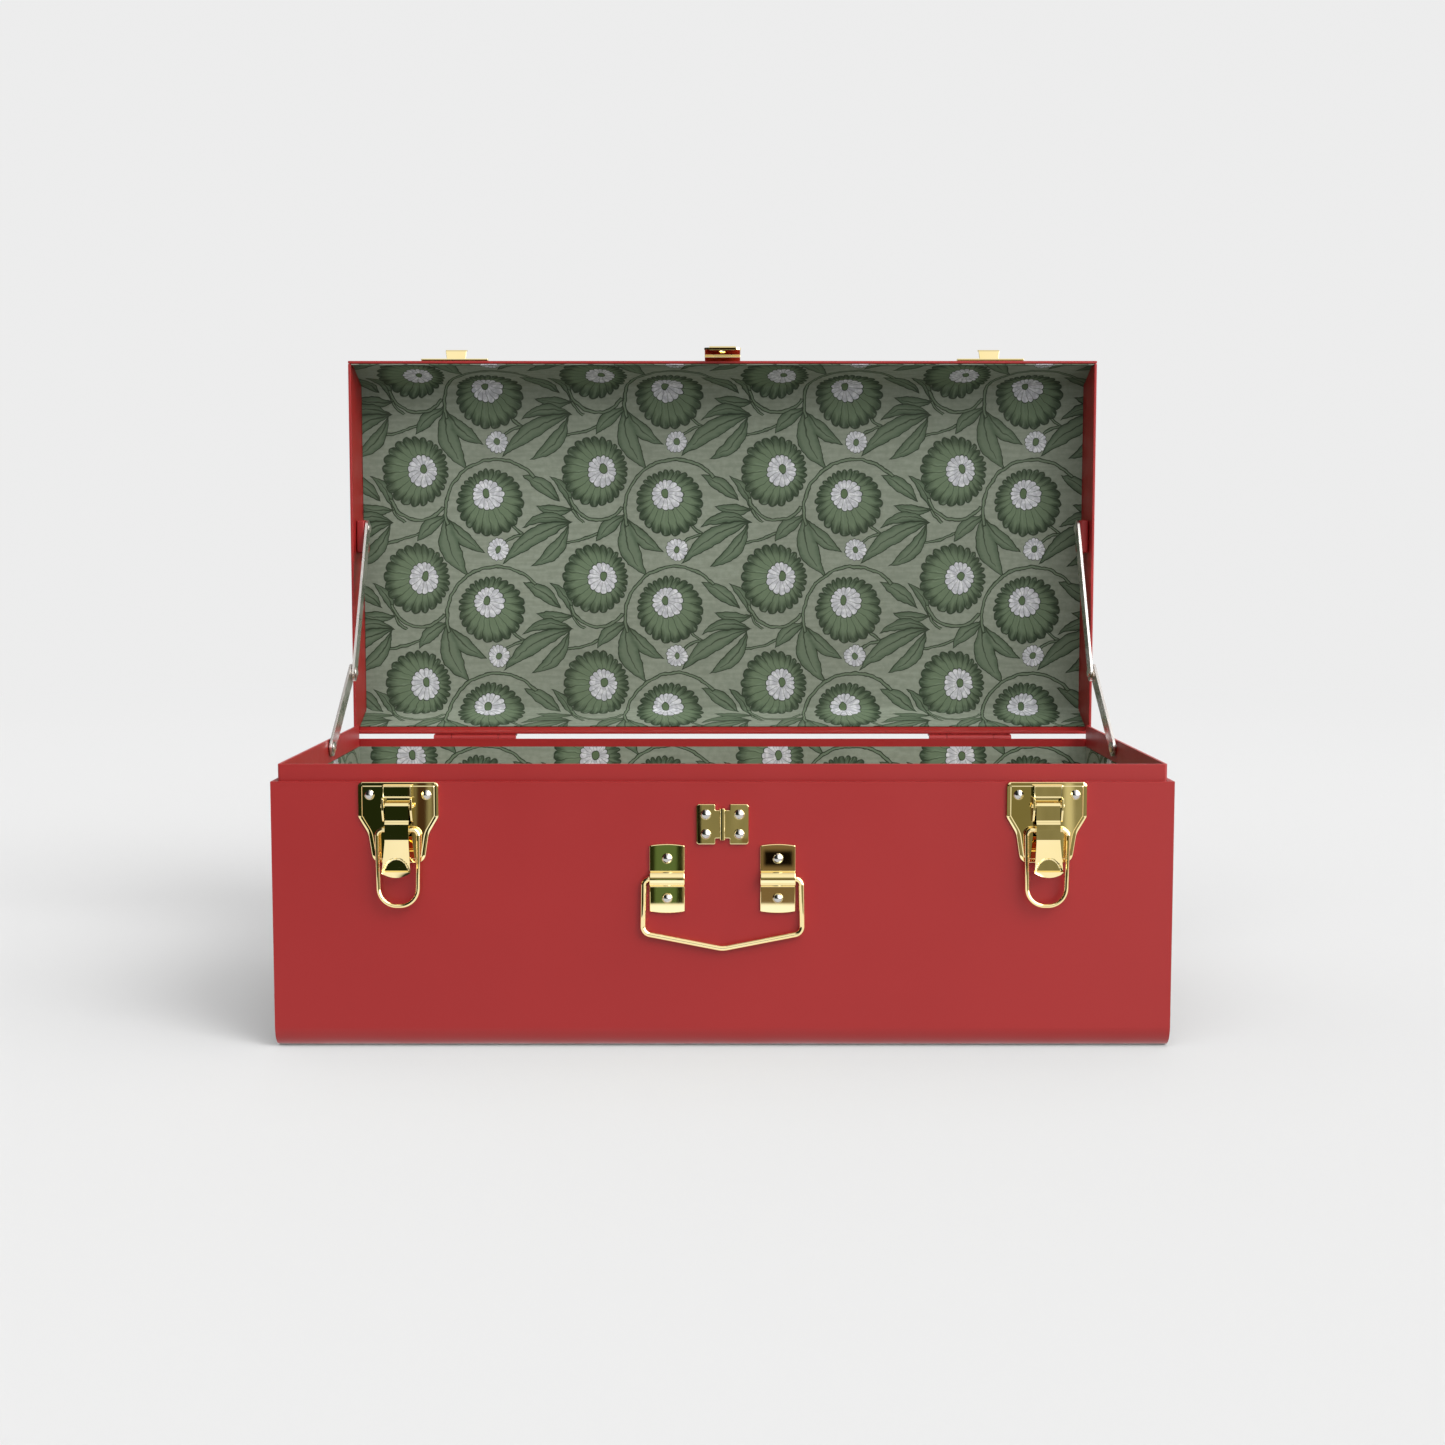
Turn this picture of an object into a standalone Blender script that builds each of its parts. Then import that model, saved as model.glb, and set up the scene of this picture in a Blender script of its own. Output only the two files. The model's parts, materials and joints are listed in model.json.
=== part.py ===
"""Steel trunk-style sewing box with a lined lid, folding stays, two draw latches, a hasp, a drop
handle and two lift-out trays. Metres, +Z up. The origin is the centre of the underside, +X runs
along the length and the front faces -Y. The lid stands open at 90 degrees."""

import math

import bmesh
import bpy
from mathutils import Matrix, Vector

# Driving dimensions
WIDTH = 0.450
DEPTH = 0.225
BASE_HEIGHT = 0.135
LID_HEIGHT = 0.037
SHEET = 0.0015
EDGE_RADIUS = 0.011
GAP = 0.0003
LID_GAP = 0.0004
PIN_PLAY = 0.0001
WIRE_PLAY = 0.0002
# Keeps faces of joined shapes out of one plane, and lets them sink into each other
STEP = 0.0001
SINK = 0.0005
# Reach of a cutter past what it cuts
CUT = 0.0100

# Shoulder, hem and collar around the mouth of the base
HEM = 0.0012
HEM_HEIGHT = 0.0044
COLLAR_INSET = 0.0030
COLLAR_SHEET = 0.0016
COLLAR_RISE = 0.0085
COLLAR_BACK = 0.1085

# Lid section: a straight rim, a sloping wall and a rounded top edge
LID_RIM = 0.0080
LID_INSET = 0.0105
LID_BEND_RADIUS = 0.0060
LID_TOP_RADIUS = 0.0048

# Lining
LINING = 0.0005
BASE_LINING = 0.0008
BARE_LID_BACK = 0.0130

# Hinges
AXIS_OFFSET = 0.0026
KNUCKLE_RADIUS = 0.0023
HINGE_PIN_RADIUS = 0.0011
HINGE_PLACE = 0.1510
HINGE_WIDTH = 0.0498
END_KNUCKLE = 0.0105
LEAF = 0.0012
LEAF_HEIGHT = 0.0200
LEAF_STEP = 0.0008

# Folding stays
STAY_WIDTH = 0.0102
STAY_SHEET = 0.0014
UPPER_STAY_PLANE = 0.2163
LOWER_STAY_PLANE = 0.2182
UPPER_STAY_LENGTH = 0.0994
LOWER_STAY_LENGTH = 0.0720
STAY_LID_PIVOT = (0.1290, 0.2625)
STAY_BASE_PIVOT = (0.0165, 0.1393)
STAY_HOLE = 0.0021
STAY_BLOCK_SIZE = (0.0052, 0.0165, 0.0200)
RIVET_SHANK = 0.0019
RIVET_HEAD = 0.0034
RIVET_DOME = 0.0012

# Front hardware
PLATE = 0.0012
SCREW_HEAD = 0.0026
SCREW_DOME = 0.0017
SCREW_SHANK = 0.0012
SCREW_HOLE = 0.0015
SCREW_LENGTH = 0.0045
LATCH_PLACE = 0.1612
LATCH_PLATE_WIDTH = 0.0400
LATCH_PLATE_FOOT = 0.0256
LATCH_PLATE_BOTTOM = 0.0945
LATCH_SHOULDER = 0.1175
LATCH_WAIST = (0.0150, 0.1090)
LATCH_SCREW = (0.0141, 0.1286)
HOOD_WIDTH = 0.0148
HOOD_STAND = 0.0042
HOOD_ENDS = (0.1274, 0.1339)
EAR_WIDTH = 0.0150
EAR_SHEET = 0.0010
EAR_STAND = 0.0056
LEVER_PIVOT = 0.1234
BAIL_PIVOT = 0.1115
LATCH_STAND = 0.0047
LEVER_WIDTH = 0.0122
LEVER_SHEET = 0.0010
LEVER_TIP = 0.0870
LEVER_TIP_WIDTH = 0.0180
LEVER_TIP_STAND = 0.0052
LEVER_TIP_RADIUS = 0.0086
LATCH_PIN_RADIUS = 0.0010
LATCH_PIN_LENGTH = 0.0164
BAIL_WIRE = 0.00115
BAIL_HALF_WIDTH = 0.0103
BAIL_WAIST = 0.0096
BAIL_BOTTOM = 0.0732
STAPLE_SIZE = (0.0261, 0.0202)
STAPLE_CENTRE = 0.1138
STAPLE_NECK = (0.0036, 0.0071)
STAPLE_BARREL = 0.0014
STAPLE_SCREW = (0.0083, 0.0049)
HANDLE_BRACKET_PLACE = 0.0276
HANDLE_BRACKET_WIDTH = 0.0176
HANDLE_BRACKET_ENDS = (0.0691, 0.1039)
HANDLE_BRACKET_BOW = 0.0484
HANDLE_AXIS = 0.0864
HANDLE_WIRE = 0.00145
HANDLE_HALF_WIDTH = 0.0398
HANDLE_CORNER = 0.0590
HANDLE_BOTTOM = 0.0512
HANDLE_SPLAY = 0.0005
HANDLE_SCREWS = (0.0767, 0.0967)

# Lid hardware
CATCH_WIDTH = 0.0400
CATCH_ENDS = (0.0015, 0.0270)
HOOK_WIDTHS = (0.0104, 0.0130)
HOOK_DROP = 0.0027
HOOK_LIP = 0.0006
HASP_WIDTH = 0.0215
HASP_STAND = 0.0040
HASP_REACH = 0.0285
HASP_AXIS_HEIGHT = 0.0128
HASP_LEAF_ENDS = (0.0185, 0.0300)
HASP_CORNER = 0.0030
HASP_KNUCKLE = 0.0019
HASP_PIN_RADIUS = 0.0009
HASP_SLOT_WIDTH = 0.0038
HASP_SLOT_ENDS = (0.0075, 0.0215)

# Trays
TRAY_TOP = 0.1100
TRAY_HEIGHT = 0.0400
TRAY_WALL = 0.0030
TRAY_FLOOR = 0.0030
TRAY_SIDE = 0.2115
TRAY_PARTING = 0.0010
TRAY_DEPTH = 0.2090
LEDGE = 0.0080

FRONT = -DEPTH / 2
BACK = DEPTH / 2
SIDE = WIDTH / 2
HINGE = Vector((0, BACK + AXIS_OFFSET, BASE_HEIGHT))
LID_FOOT = BASE_HEIGHT + LID_GAP
COLLAR_FOOT = BASE_HEIGHT - HEM_HEIGHT
COLLAR_OUT_Y = FRONT + COLLAR_INSET
COLLAR_OUT_X = SIDE - COLLAR_INSET
COLLAR_TOP = BASE_HEIGHT + COLLAR_RISE
LATCH_Y = FRONT - LATCH_STAND
HANDLE_Y = FRONT - GAP - HANDLE_WIRE - WIRE_PLAY
HASP_AXIS = (FRONT - HASP_STAND + SINK, LID_FOOT + HASP_AXIS_HEIGHT)

RED = ((0.42, 0.030, 0.028), 0.42, 0.0)
BRASS = ((0.83, 0.66, 0.30), 0.18, 1.0)
SILVER = ((0.78, 0.77, 0.75), 0.22, 1.0)
SAGE = ((0.20, 0.24, 0.16), 0.85, 0.0)
BOARD = ((0.33, 0.36, 0.27), 0.80, 0.0)


# Scene and materials


def clear_scene():
    for obj in list(bpy.data.objects):
        bpy.data.objects.remove(obj)
    for collection in list(bpy.data.collections):
        bpy.data.collections.remove(collection)


def new_collection(name):
    collection = bpy.data.collections.new(name)
    bpy.context.scene.collection.children.link(collection)
    return collection


def finish_of(name, look):
    colour, roughness, metallic = look
    material = bpy.data.materials.new(name)
    material.use_nodes = True
    shader = material.node_tree.nodes["Principled BSDF"]
    shader.inputs["Base Color"].default_value = (*colour, 1)
    shader.inputs["Roughness"].default_value = roughness
    shader.inputs["Metallic"].default_value = metallic
    return material


# Outlines in two dimensions


def arc(centre, radius, start, end, steps):
    """Points on an arc, angles in degrees, both ends included."""
    points = []
    for i in range(steps + 1):
        angle = math.radians(start + (end - start) * i / steps)
        points.append((centre[0] + radius * math.cos(angle), centre[1] + radius * math.sin(angle)))
    return points


def circle(centre, radius, steps=16):
    return arc(centre, radius, 0, 360 * (1 - 1 / steps), steps - 1)


def rectangle(low, high):
    return [(low[0], low[1]), (high[0], low[1]), (high[0], high[1]), (low[0], high[1])]


def rounded(corners, closed=True, steps=4):
    """Replaces each corner (x, y, radius) by an arc that is tangent to both of its sides."""
    points = []
    count = len(corners)
    for i, (x, y, radius) in enumerate(corners):
        if radius == 0 or (not closed and i in (0, count - 1)):
            points.append((x, y))
            continue
        here = Vector((x, y))
        before = (Vector(corners[i - 1][:2]) - here).normalized()
        after = (Vector(corners[(i + 1) % count][:2]) - here).normalized()
        half = before.angle(after) / 2
        centre = here + (before + after).normalized() * radius / math.sin(half)
        first = here + before * radius / math.tan(half) - centre
        last = here + after * radius / math.tan(half) - centre
        turn = first.angle_signed(last)
        for step in range(steps + 1):
            spoke = first.copy()
            spoke.rotate(Matrix.Rotation(-turn * step / steps, 2))
            points.append(tuple(centre + spoke))
    return points


def cut_path(path, start, end):
    """The stretch of an open path between two distances along it."""
    travelled = 0
    kept = []
    for first, second in zip(path, path[1:]):
        first, second = Vector(first), Vector(second)
        length = (second - first).length
        for distance in (start, end):
            if travelled <= distance < travelled + length:
                kept.append((distance, first.lerp(second, (distance - travelled) / length)))
        if start < travelled < end:
            kept.append((travelled, first))
        travelled += length
    if end >= travelled:
        kept.append((travelled, Vector(path[-1])))
    if start <= 0 and kept[0][0] > 0:
        kept.append((0, Vector(path[0])))
    kept.sort(key=lambda item: item[0])
    return [point for _, point in kept]


def shifted(path, distance):
    """The path moved sideways, positive to the right of its direction."""
    moved = []
    for i, point in enumerate(path):
        sides = []
        if i > 0:
            sides.append((point - path[i - 1]).normalized())
        if i < len(path) - 1:
            sides.append((path[i + 1] - point).normalized())
        normals = [Vector((side.y, -side.x)) for side in sides]
        mean = sum(normals, Vector((0, 0))).normalized()
        moved.append(point + mean * distance / mean.dot(normals[0]))
    return moved


def strip(path, start, end, low, high):
    """Outline of a sheet that follows a path, between two distances to its right."""
    middle = cut_path(path, start, end)
    return [tuple(p) for p in shifted(middle, high)] + [tuple(p) for p in reversed(shifted(middle, low))]


def path_length(path):
    return sum((Vector(b) - Vector(a)).length for a, b in zip(path, path[1:]))


# Solids


FACING = {
    "x": Matrix(((0, 0, 1), (1, 0, 0), (0, 1, 0))),
    "y": Matrix(((1, 0, 0), (0, 0, -1), (0, 1, 0))),
    "z": Matrix.Identity(3),
}


def evaluated_copy(obj):
    """A plain mesh object in world coordinates, in place of a curve or of an object with modifiers."""
    bpy.context.view_layer.update()
    graph = bpy.context.evaluated_depsgraph_get()
    mesh = bpy.data.meshes.new_from_object(obj.evaluated_get(graph))
    mesh.transform(obj.matrix_world)
    shape = bmesh.new()
    shape.from_mesh(mesh)
    bmesh.ops.remove_doubles(shape, verts=shape.verts, dist=1e-7)
    shape.to_mesh(mesh)
    shape.free()
    copy = bpy.data.objects.new(obj.name, mesh)
    bpy.context.scene.collection.objects.link(copy)
    bpy.data.objects.remove(obj)
    return copy


def prism(outline, low, high, facing, holes=()):
    """An outline, and the holes in it, filled and extruded between two places along an axis."""
    curve = bpy.data.curves.new("prism", "CURVE")
    curve.dimensions = "2D"
    curve.fill_mode = "BOTH"
    for points in (outline, *holes):
        spline = curve.splines.new("POLY")
        spline.points.add(len(points) - 1)
        for point, place in zip(spline.points, points):
            point.co = (place[0], place[1], 0, 1)
        spline.use_cyclic_u = True
    curve.extrude = (high - low) / 2
    obj = bpy.data.objects.new("prism", curve)
    bpy.context.scene.collection.objects.link(obj)
    turn = FACING[facing].to_4x4()
    along = -(low + high) / 2 if facing == "y" else (low + high) / 2
    obj.matrix_world = turn @ Matrix.Translation((0, 0, along))
    return evaluated_copy(obj)


def box(low, high):
    shape = bmesh.new()
    bmesh.ops.create_cube(shape, size=1)
    size = Vector(high) - Vector(low)
    bmesh.ops.scale(shape, vec=size, verts=shape.verts)
    bmesh.ops.translate(shape, vec=(Vector(low) + Vector(high)) / 2, verts=shape.verts)
    return object_from(shape)


def object_from(shape):
    mesh = bpy.data.meshes.new("shape")
    shape.to_mesh(mesh)
    shape.free()
    obj = bpy.data.objects.new("shape", mesh)
    bpy.context.scene.collection.objects.link(obj)
    return obj


def combined(obj, others, operation):
    for other in others:
        modifier = obj.modifiers.new(operation.lower(), "BOOLEAN")
        modifier.operation = operation
        modifier.object = other
    result = evaluated_copy(obj)
    for other in others:
        bpy.data.objects.remove(other)
    return result


def bevelled(obj, width, segments=2, angle=40):
    modifier = obj.modifiers.new("edges", "BEVEL")
    modifier.width = width
    modifier.segments = segments
    modifier.limit_method = "ANGLE"
    modifier.angle_limit = math.radians(angle)
    return evaluated_copy(obj)


def pressed(profile, across, facing, outline, holes=()):
    """A sheet with this side profile, trimmed to an outline seen from the front, along Y."""
    side = prism(profile, across[0], across[1], facing)
    front = prism(outline, FRONT - CUT, FRONT + CUT, "y", holes)
    return combined(side, [front], "INTERSECT")


def turned(profile, place, direction, steps=16):
    """A profile of (radius, height) pairs, listed from its top down, turned about an axis."""
    shape = bmesh.new()
    verts = [shape.verts.new((radius, 0, height)) for radius, height in profile]
    for first, second in zip(verts, verts[1:]):
        shape.edges.new((first, second))
    obj = object_from(shape)
    screw = obj.modifiers.new("turn", "SCREW")
    screw.steps = steps
    screw.render_steps = steps
    screw.use_merge_vertices = True
    screw.merge_threshold = 1e-6
    turn = Vector((0, 0, 1)).rotation_difference(Vector(direction))
    obj.matrix_world = Matrix.Translation(place) @ turn.to_matrix().to_4x4()
    return evaluated_copy(obj)


def wire(points, radius, closed, sides=3):
    curve = bpy.data.curves.new("wire", "CURVE")
    curve.dimensions = "3D"
    curve.bevel_depth = radius
    curve.bevel_resolution = sides
    curve.use_fill_caps = not closed
    curve.twist_mode = "Z_UP"
    spline = curve.splines.new("POLY")
    spline.points.add(len(points) - 1)
    for point, place in zip(spline.points, points):
        point.co = (*place, 1)
    spline.use_cyclic_u = closed
    obj = bpy.data.objects.new("wire", curve)
    bpy.context.scene.collection.objects.link(obj)
    return evaluated_copy(obj)


# Sections of the two halves of the box, as (y, z)


def base_section():
    """Outer face of the base sheet, from the front rim under the floor to the back rim."""
    corners = [
        (FRONT, BASE_HEIGHT, 0),
        (FRONT, 0, EDGE_RADIUS),
        (BACK, 0, EDGE_RADIUS),
        (BACK, BASE_HEIGHT, 0),
    ]
    return rounded(corners, closed=False, steps=8)


def lid_section():
    """Outer face of the closed lid's sheet, from the back rim over the top to the front rim."""
    top = LID_FOOT + LID_HEIGHT
    bend = LID_FOOT + LID_RIM
    corners = [
        (BACK, LID_FOOT, 0),
        (BACK, bend, LID_BEND_RADIUS),
        (BACK - LID_INSET, top, LID_TOP_RADIUS),
        (FRONT + LID_INSET, top, LID_TOP_RADIUS),
        (FRONT, bend, LID_BEND_RADIUS),
        (FRONT, LID_FOOT, 0),
    ]
    return rounded(corners, closed=False, steps=5)


class Assembly:
    """Collects the pieces. Lid pieces are made closed and hang from an empty that opens them."""

    def __init__(self):
        self.pieces = new_collection("sewing_box_with_trays")
        self.lid_axis = self.empty("lid_hinge_axis", HINGE)

    def empty(self, name, place):
        marker = bpy.data.objects.new(name, None)
        marker.location = place
        self.pieces.objects.link(marker)
        return marker

    def add(self, obj, name, look, origin=None, on_lid=False):
        obj.name = name
        obj.data.name = name
        bpy.context.scene.collection.objects.unlink(obj)
        self.pieces.objects.link(obj)
        if origin is not None:
            obj.data.transform(Matrix.Translation(-Vector(origin)))
            obj.location = origin
        if on_lid:
            obj.parent = self.lid_axis
            obj.matrix_parent_inverse = Matrix.Translation(-HINGE)
        obj.data.materials.clear()
        obj.data.materials.append(finish_of(name + "_finish", look))
        obj.data.shade_smooth()
        obj.data.set_sharp_from_angle(angle=math.radians(32))
        return obj

    def open_lid(self):
        self.lid_axis.rotation_euler.x = -math.pi / 2


# Base


def screw_places():
    """Every screw in the front wall as name, x and z."""
    places = []
    for side, sign in (("left", -1), ("right", 1)):
        for edge, step in (("outer", sign), ("inner", -sign)):
            x = sign * LATCH_PLACE + step * LATCH_SCREW[0]
            places.append((f"latch_screw_{side}_{edge}", x, LATCH_SCREW[1]))
        for height, z in (("lower", HANDLE_SCREWS[0]), ("upper", HANDLE_SCREWS[1])):
            places.append((f"handle_screw_{side}_{height}", sign * HANDLE_BRACKET_PLACE, z))
        for height, step in (("lower", -1), ("upper", 1)):
            z = STAPLE_CENTRE + step * STAPLE_SCREW[1]
            places.append((f"staple_screw_{side}_{height}", sign * STAPLE_SCREW[0], z))
    return places


def base_wrap():
    """Sheet of the front, floor and back, with a hem at the front rim and the screws' holes."""
    section = base_section()
    sheet = prism(strip(section, 0, path_length(section), -SHEET, 0), -SIDE, SIDE, "x")
    hem = box(
        (-SIDE + SHEET + 2 * GAP, FRONT + SHEET / 2, COLLAR_FOOT),
        (SIDE - SHEET - 2 * GAP, FRONT + SHEET + HEM, BASE_HEIGHT - STEP),
    )
    sheet = combined(sheet, [hem], "UNION")
    holes = []
    for _, x, z in screw_places():
        holes.append(prism(circle((x, z), SCREW_HOLE, 12), FRONT - CUT, FRONT + CUT, "y"))
    return combined(sheet, holes, "DIFFERENCE")


def base_end(sign):
    """End plate that stands inside the wrapped sheet, with a hem along its top edge."""
    inset = SHEET + GAP
    radius = EDGE_RADIUS - inset
    outline = rounded(
        [
            (FRONT + inset, BASE_HEIGHT, 0),
            (FRONT + inset, inset, radius),
            (BACK - inset, inset, radius),
            (BACK - inset, BASE_HEIGHT, 0),
        ],
        steps=8,
    )
    faces = sorted((sign * SIDE, sign * (SIDE - SHEET)))
    plate = prism(outline, faces[0], faces[1], "x")
    hem_front = FRONT + SHEET + HEM + GAP
    faces = sorted((sign * (SIDE - SHEET / 2), sign * (SIDE - SHEET - HEM)))
    far = (faces[1], BACK - inset - STEP, BASE_HEIGHT - STEP)
    hem = box((faces[0], hem_front, COLLAR_FOOT), far)
    return combined(plate, [hem], "UNION")


def base_collar():
    """Strip that stands up inside the mouth at the front and both ends and guides the lid."""
    inner_x = COLLAR_OUT_X - COLLAR_SHEET
    inner_y = COLLAR_OUT_Y + COLLAR_SHEET
    outline = rounded(
        [
            (-COLLAR_OUT_X, COLLAR_BACK, 0),
            (-COLLAR_OUT_X, COLLAR_OUT_Y, COLLAR_SHEET),
            (COLLAR_OUT_X, COLLAR_OUT_Y, COLLAR_SHEET),
            (COLLAR_OUT_X, COLLAR_BACK, 0),
            (inner_x, COLLAR_BACK, 0),
            (inner_x, inner_y, 0),
            (-inner_x, inner_y, 0),
            (-inner_x, COLLAR_BACK, 0),
        ]
    )
    strip_solid = prism(outline, COLLAR_FOOT, COLLAR_TOP, "z")
    hole = prism(circle(STAY_BASE_PIVOT, STAY_HOLE, 12), -SIDE, SIDE, "x")
    return combined(strip_solid, [hole], "DIFFERENCE")


def base_lining():
    """Open box of lined board that sits inside the steel and ends just under the collar."""
    low_x = -COLLAR_OUT_X + COLLAR_SHEET - BASE_LINING
    low_y = COLLAR_OUT_Y + COLLAR_SHEET - BASE_LINING
    high_y = BACK - SHEET - GAP
    floor = SHEET + GAP
    shape = bmesh.new()
    bmesh.ops.create_cube(shape, size=1)
    size = (-2 * low_x, high_y - low_y, COLLAR_FOOT - GAP - floor)
    middle = (0, (low_y + high_y) / 2, floor + size[2] / 2)
    bmesh.ops.scale(shape, vec=size, verts=shape.verts)
    bmesh.ops.translate(shape, vec=middle, verts=shape.verts)
    top = [face for face in shape.faces if face.normal.z > 0.5]
    bmesh.ops.delete(shape, geom=top, context="FACES")
    long_edges = [
        edge
        for edge in shape.edges
        if all(v.co.z < floor + BASE_LINING for v in edge.verts)
        and abs(edge.verts[0].co.x - edge.verts[1].co.x) > DEPTH
    ]
    bmesh.ops.bevel(shape, geom=long_edges, offset=EDGE_RADIUS, segments=6, profile=0.5, affect="EDGES")
    obj = object_from(shape)
    shell = obj.modifiers.new("board", "SOLIDIFY")
    shell.thickness = BASE_LINING
    shell.offset = -1
    shell.use_even_offset = True
    return evaluated_copy(obj)


# Lid, made closed


def lid_wrap():
    """Sheet of the lid's back, top and front."""
    section = lid_section()
    return prism(strip(section, 0, path_length(section), -SHEET, 0), -SIDE, SIDE, "x")


def lid_end(sign):
    """End plate that stands inside the lid's wrapped sheet."""
    inside = shifted([Vector(point) for point in lid_section()], -SHEET - GAP)
    faces = sorted((sign * SIDE, sign * (SIDE - SHEET)))
    return prism([tuple(point) for point in inside], faces[0], faces[1], "x")


def lid_lining():
    """Lining that follows the lid's sheet and leaves a bare band of steel at the back rim."""
    section = lid_section()
    outer = SHEET + GAP
    outline = strip(section, BARE_LID_BACK, path_length(section) - GAP, -outer - LINING, -outer)
    reach = SIDE - SHEET - GAP
    return prism(outline, -reach, reach, "x")


# Hinges


def hinge_leaf(profile, sign, knuckles, notches):
    """Leaf on the back face: a strip that ends near the rim, cut round the other leaf's knuckles."""
    centre = sign * HINGE_PLACE
    leaf = prism(profile, centre - HINGE_WIDTH / 2, centre + HINGE_WIDTH / 2, "x")
    clear = KNUCKLE_RADIUS + GAP
    cuts = []
    for low, high in notches:
        cuts.append(
            box(
                (centre + low, BACK - SHEET, HINGE.z - clear),
                (centre + high, BACK + 2 * AXIS_OFFSET, HINGE.z + clear),
            )
        )
    leaf = combined(leaf, cuts, "DIFFERENCE")
    rings = []
    axis = (HINGE.y, HINGE.z)
    bore = circle(axis, HINGE_PIN_RADIUS + PIN_PLAY, 12)
    for low, high in knuckles:
        ring = prism(circle(axis, KNUCKLE_RADIUS, 16), centre + low, centre + high, "x", [bore])
        rings.append(ring)
    return combined(leaf, rings, "UNION")


def hinge_profiles():
    """Side profiles of the base's leaf and the lid's, both ending a little short of their rims."""
    section = base_section()
    length = path_length(section)
    base = strip(section, length - LEAF_HEIGHT, length - LEAF_STEP, GAP, GAP + LEAF)
    lid = strip(lid_section(), LEAF_STEP, LEAF_HEIGHT, GAP, GAP + LEAF)
    return base, lid


def hinge_spans():
    """Spans of the end knuckles, of the middle one, and the notches that clear each."""
    half = HINGE_WIDTH / 2
    inner = half - END_KNUCKLE
    ends = [(-half, -inner), (inner, half)]
    middle = [(-inner + GAP, inner - GAP)]
    end_notches = [(-half - GAP, -inner + GAP), (inner - GAP, half + GAP)]
    middle_notches = [(-inner, inner)]
    return ends, middle, end_notches, middle_notches


def hinge_pin(sign):
    half = HINGE_WIDTH / 2
    bar = circle((HINGE.y, HINGE.z), HINGE_PIN_RADIUS, 12)
    return prism(bar, sign * HINGE_PLACE - half, sign * HINGE_PLACE + half, "x")


# Stays


def elbow(upper, lower):
    """Where the two links meet, on the hinge side of the line between their pivots."""
    upper, lower = Vector(upper), Vector(lower)
    line = upper - lower
    reach = line.length
    along = (LOWER_STAY_LENGTH**2 - UPPER_STAY_LENGTH**2 + reach**2) / (2 * reach)
    aside = math.sqrt(LOWER_STAY_LENGTH**2 - along**2)
    line.normalize()
    return lower + line * along + Vector((line.y, -line.x)) * aside


def stay_link(start, end, plane, sign):
    """Flat link with a round end and a hole at each pivot, standing in a plane of constant x."""
    start, end = Vector(start), Vector(end)
    direction = math.degrees(math.atan2(end.y - start.y, end.x - start.x))
    radius = STAY_WIDTH / 2
    outline = arc(end, radius, direction - 90, direction + 90, 8)
    outline += arc(start, radius, direction + 90, direction + 270, 8)
    faces = sorted((sign * plane, sign * (plane + STAY_SHEET)))
    holes = [circle(start, STAY_HOLE, 12), circle(end, STAY_HOLE, 12)]
    return prism(outline, faces[0], faces[1], "x", holes)


def dome(radius, height, shank, length, steps=4):
    """Profile of a dome head with a shank below it; the head's flat underside is at height 0."""
    ball = (radius**2 + height**2) / (2 * height)
    edge = math.degrees(math.asin(radius / ball))
    head = [(x, y) for x, y in arc((0, height - ball), ball, 90, 90 - edge, steps)]
    head[0] = (0, height)
    head[-1] = (radius, 0)
    return head + [(shank, 0), (shank, -length), (0, -length)]


def rivet(x_head, length, pivot, sign):
    """Rivet along X whose head is on the inner side of a stay."""
    profile = dome(RIVET_HEAD, RIVET_DOME, RIVET_SHANK, length)
    return turned(profile, (sign * x_head, *pivot), (-sign, 0, 0))


def stay_block(sign):
    """Painted block on the lid's end plate that carries the upper pivot of a stay, lid open."""
    inner = UPPER_STAY_PLANE + STAY_SHEET + GAP
    y, z = STAY_LID_PIVOT
    size = STAY_BLOCK_SIZE
    faces = sorted((sign * inner, sign * (SIDE - SHEET - GAP)))
    top = z + STAY_WIDTH / 2
    front = y - STAY_WIDTH / 2 + GAP
    block = box((faces[0], front, top - size[2]), (faces[1], front + size[1], top))
    block = bevelled(block, 0.0012)
    hole = prism(circle(STAY_LID_PIVOT, STAY_HOLE, 12), -SIDE, SIDE, "x")
    return combined(block, [hole], "DIFFERENCE")


# Latches


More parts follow.
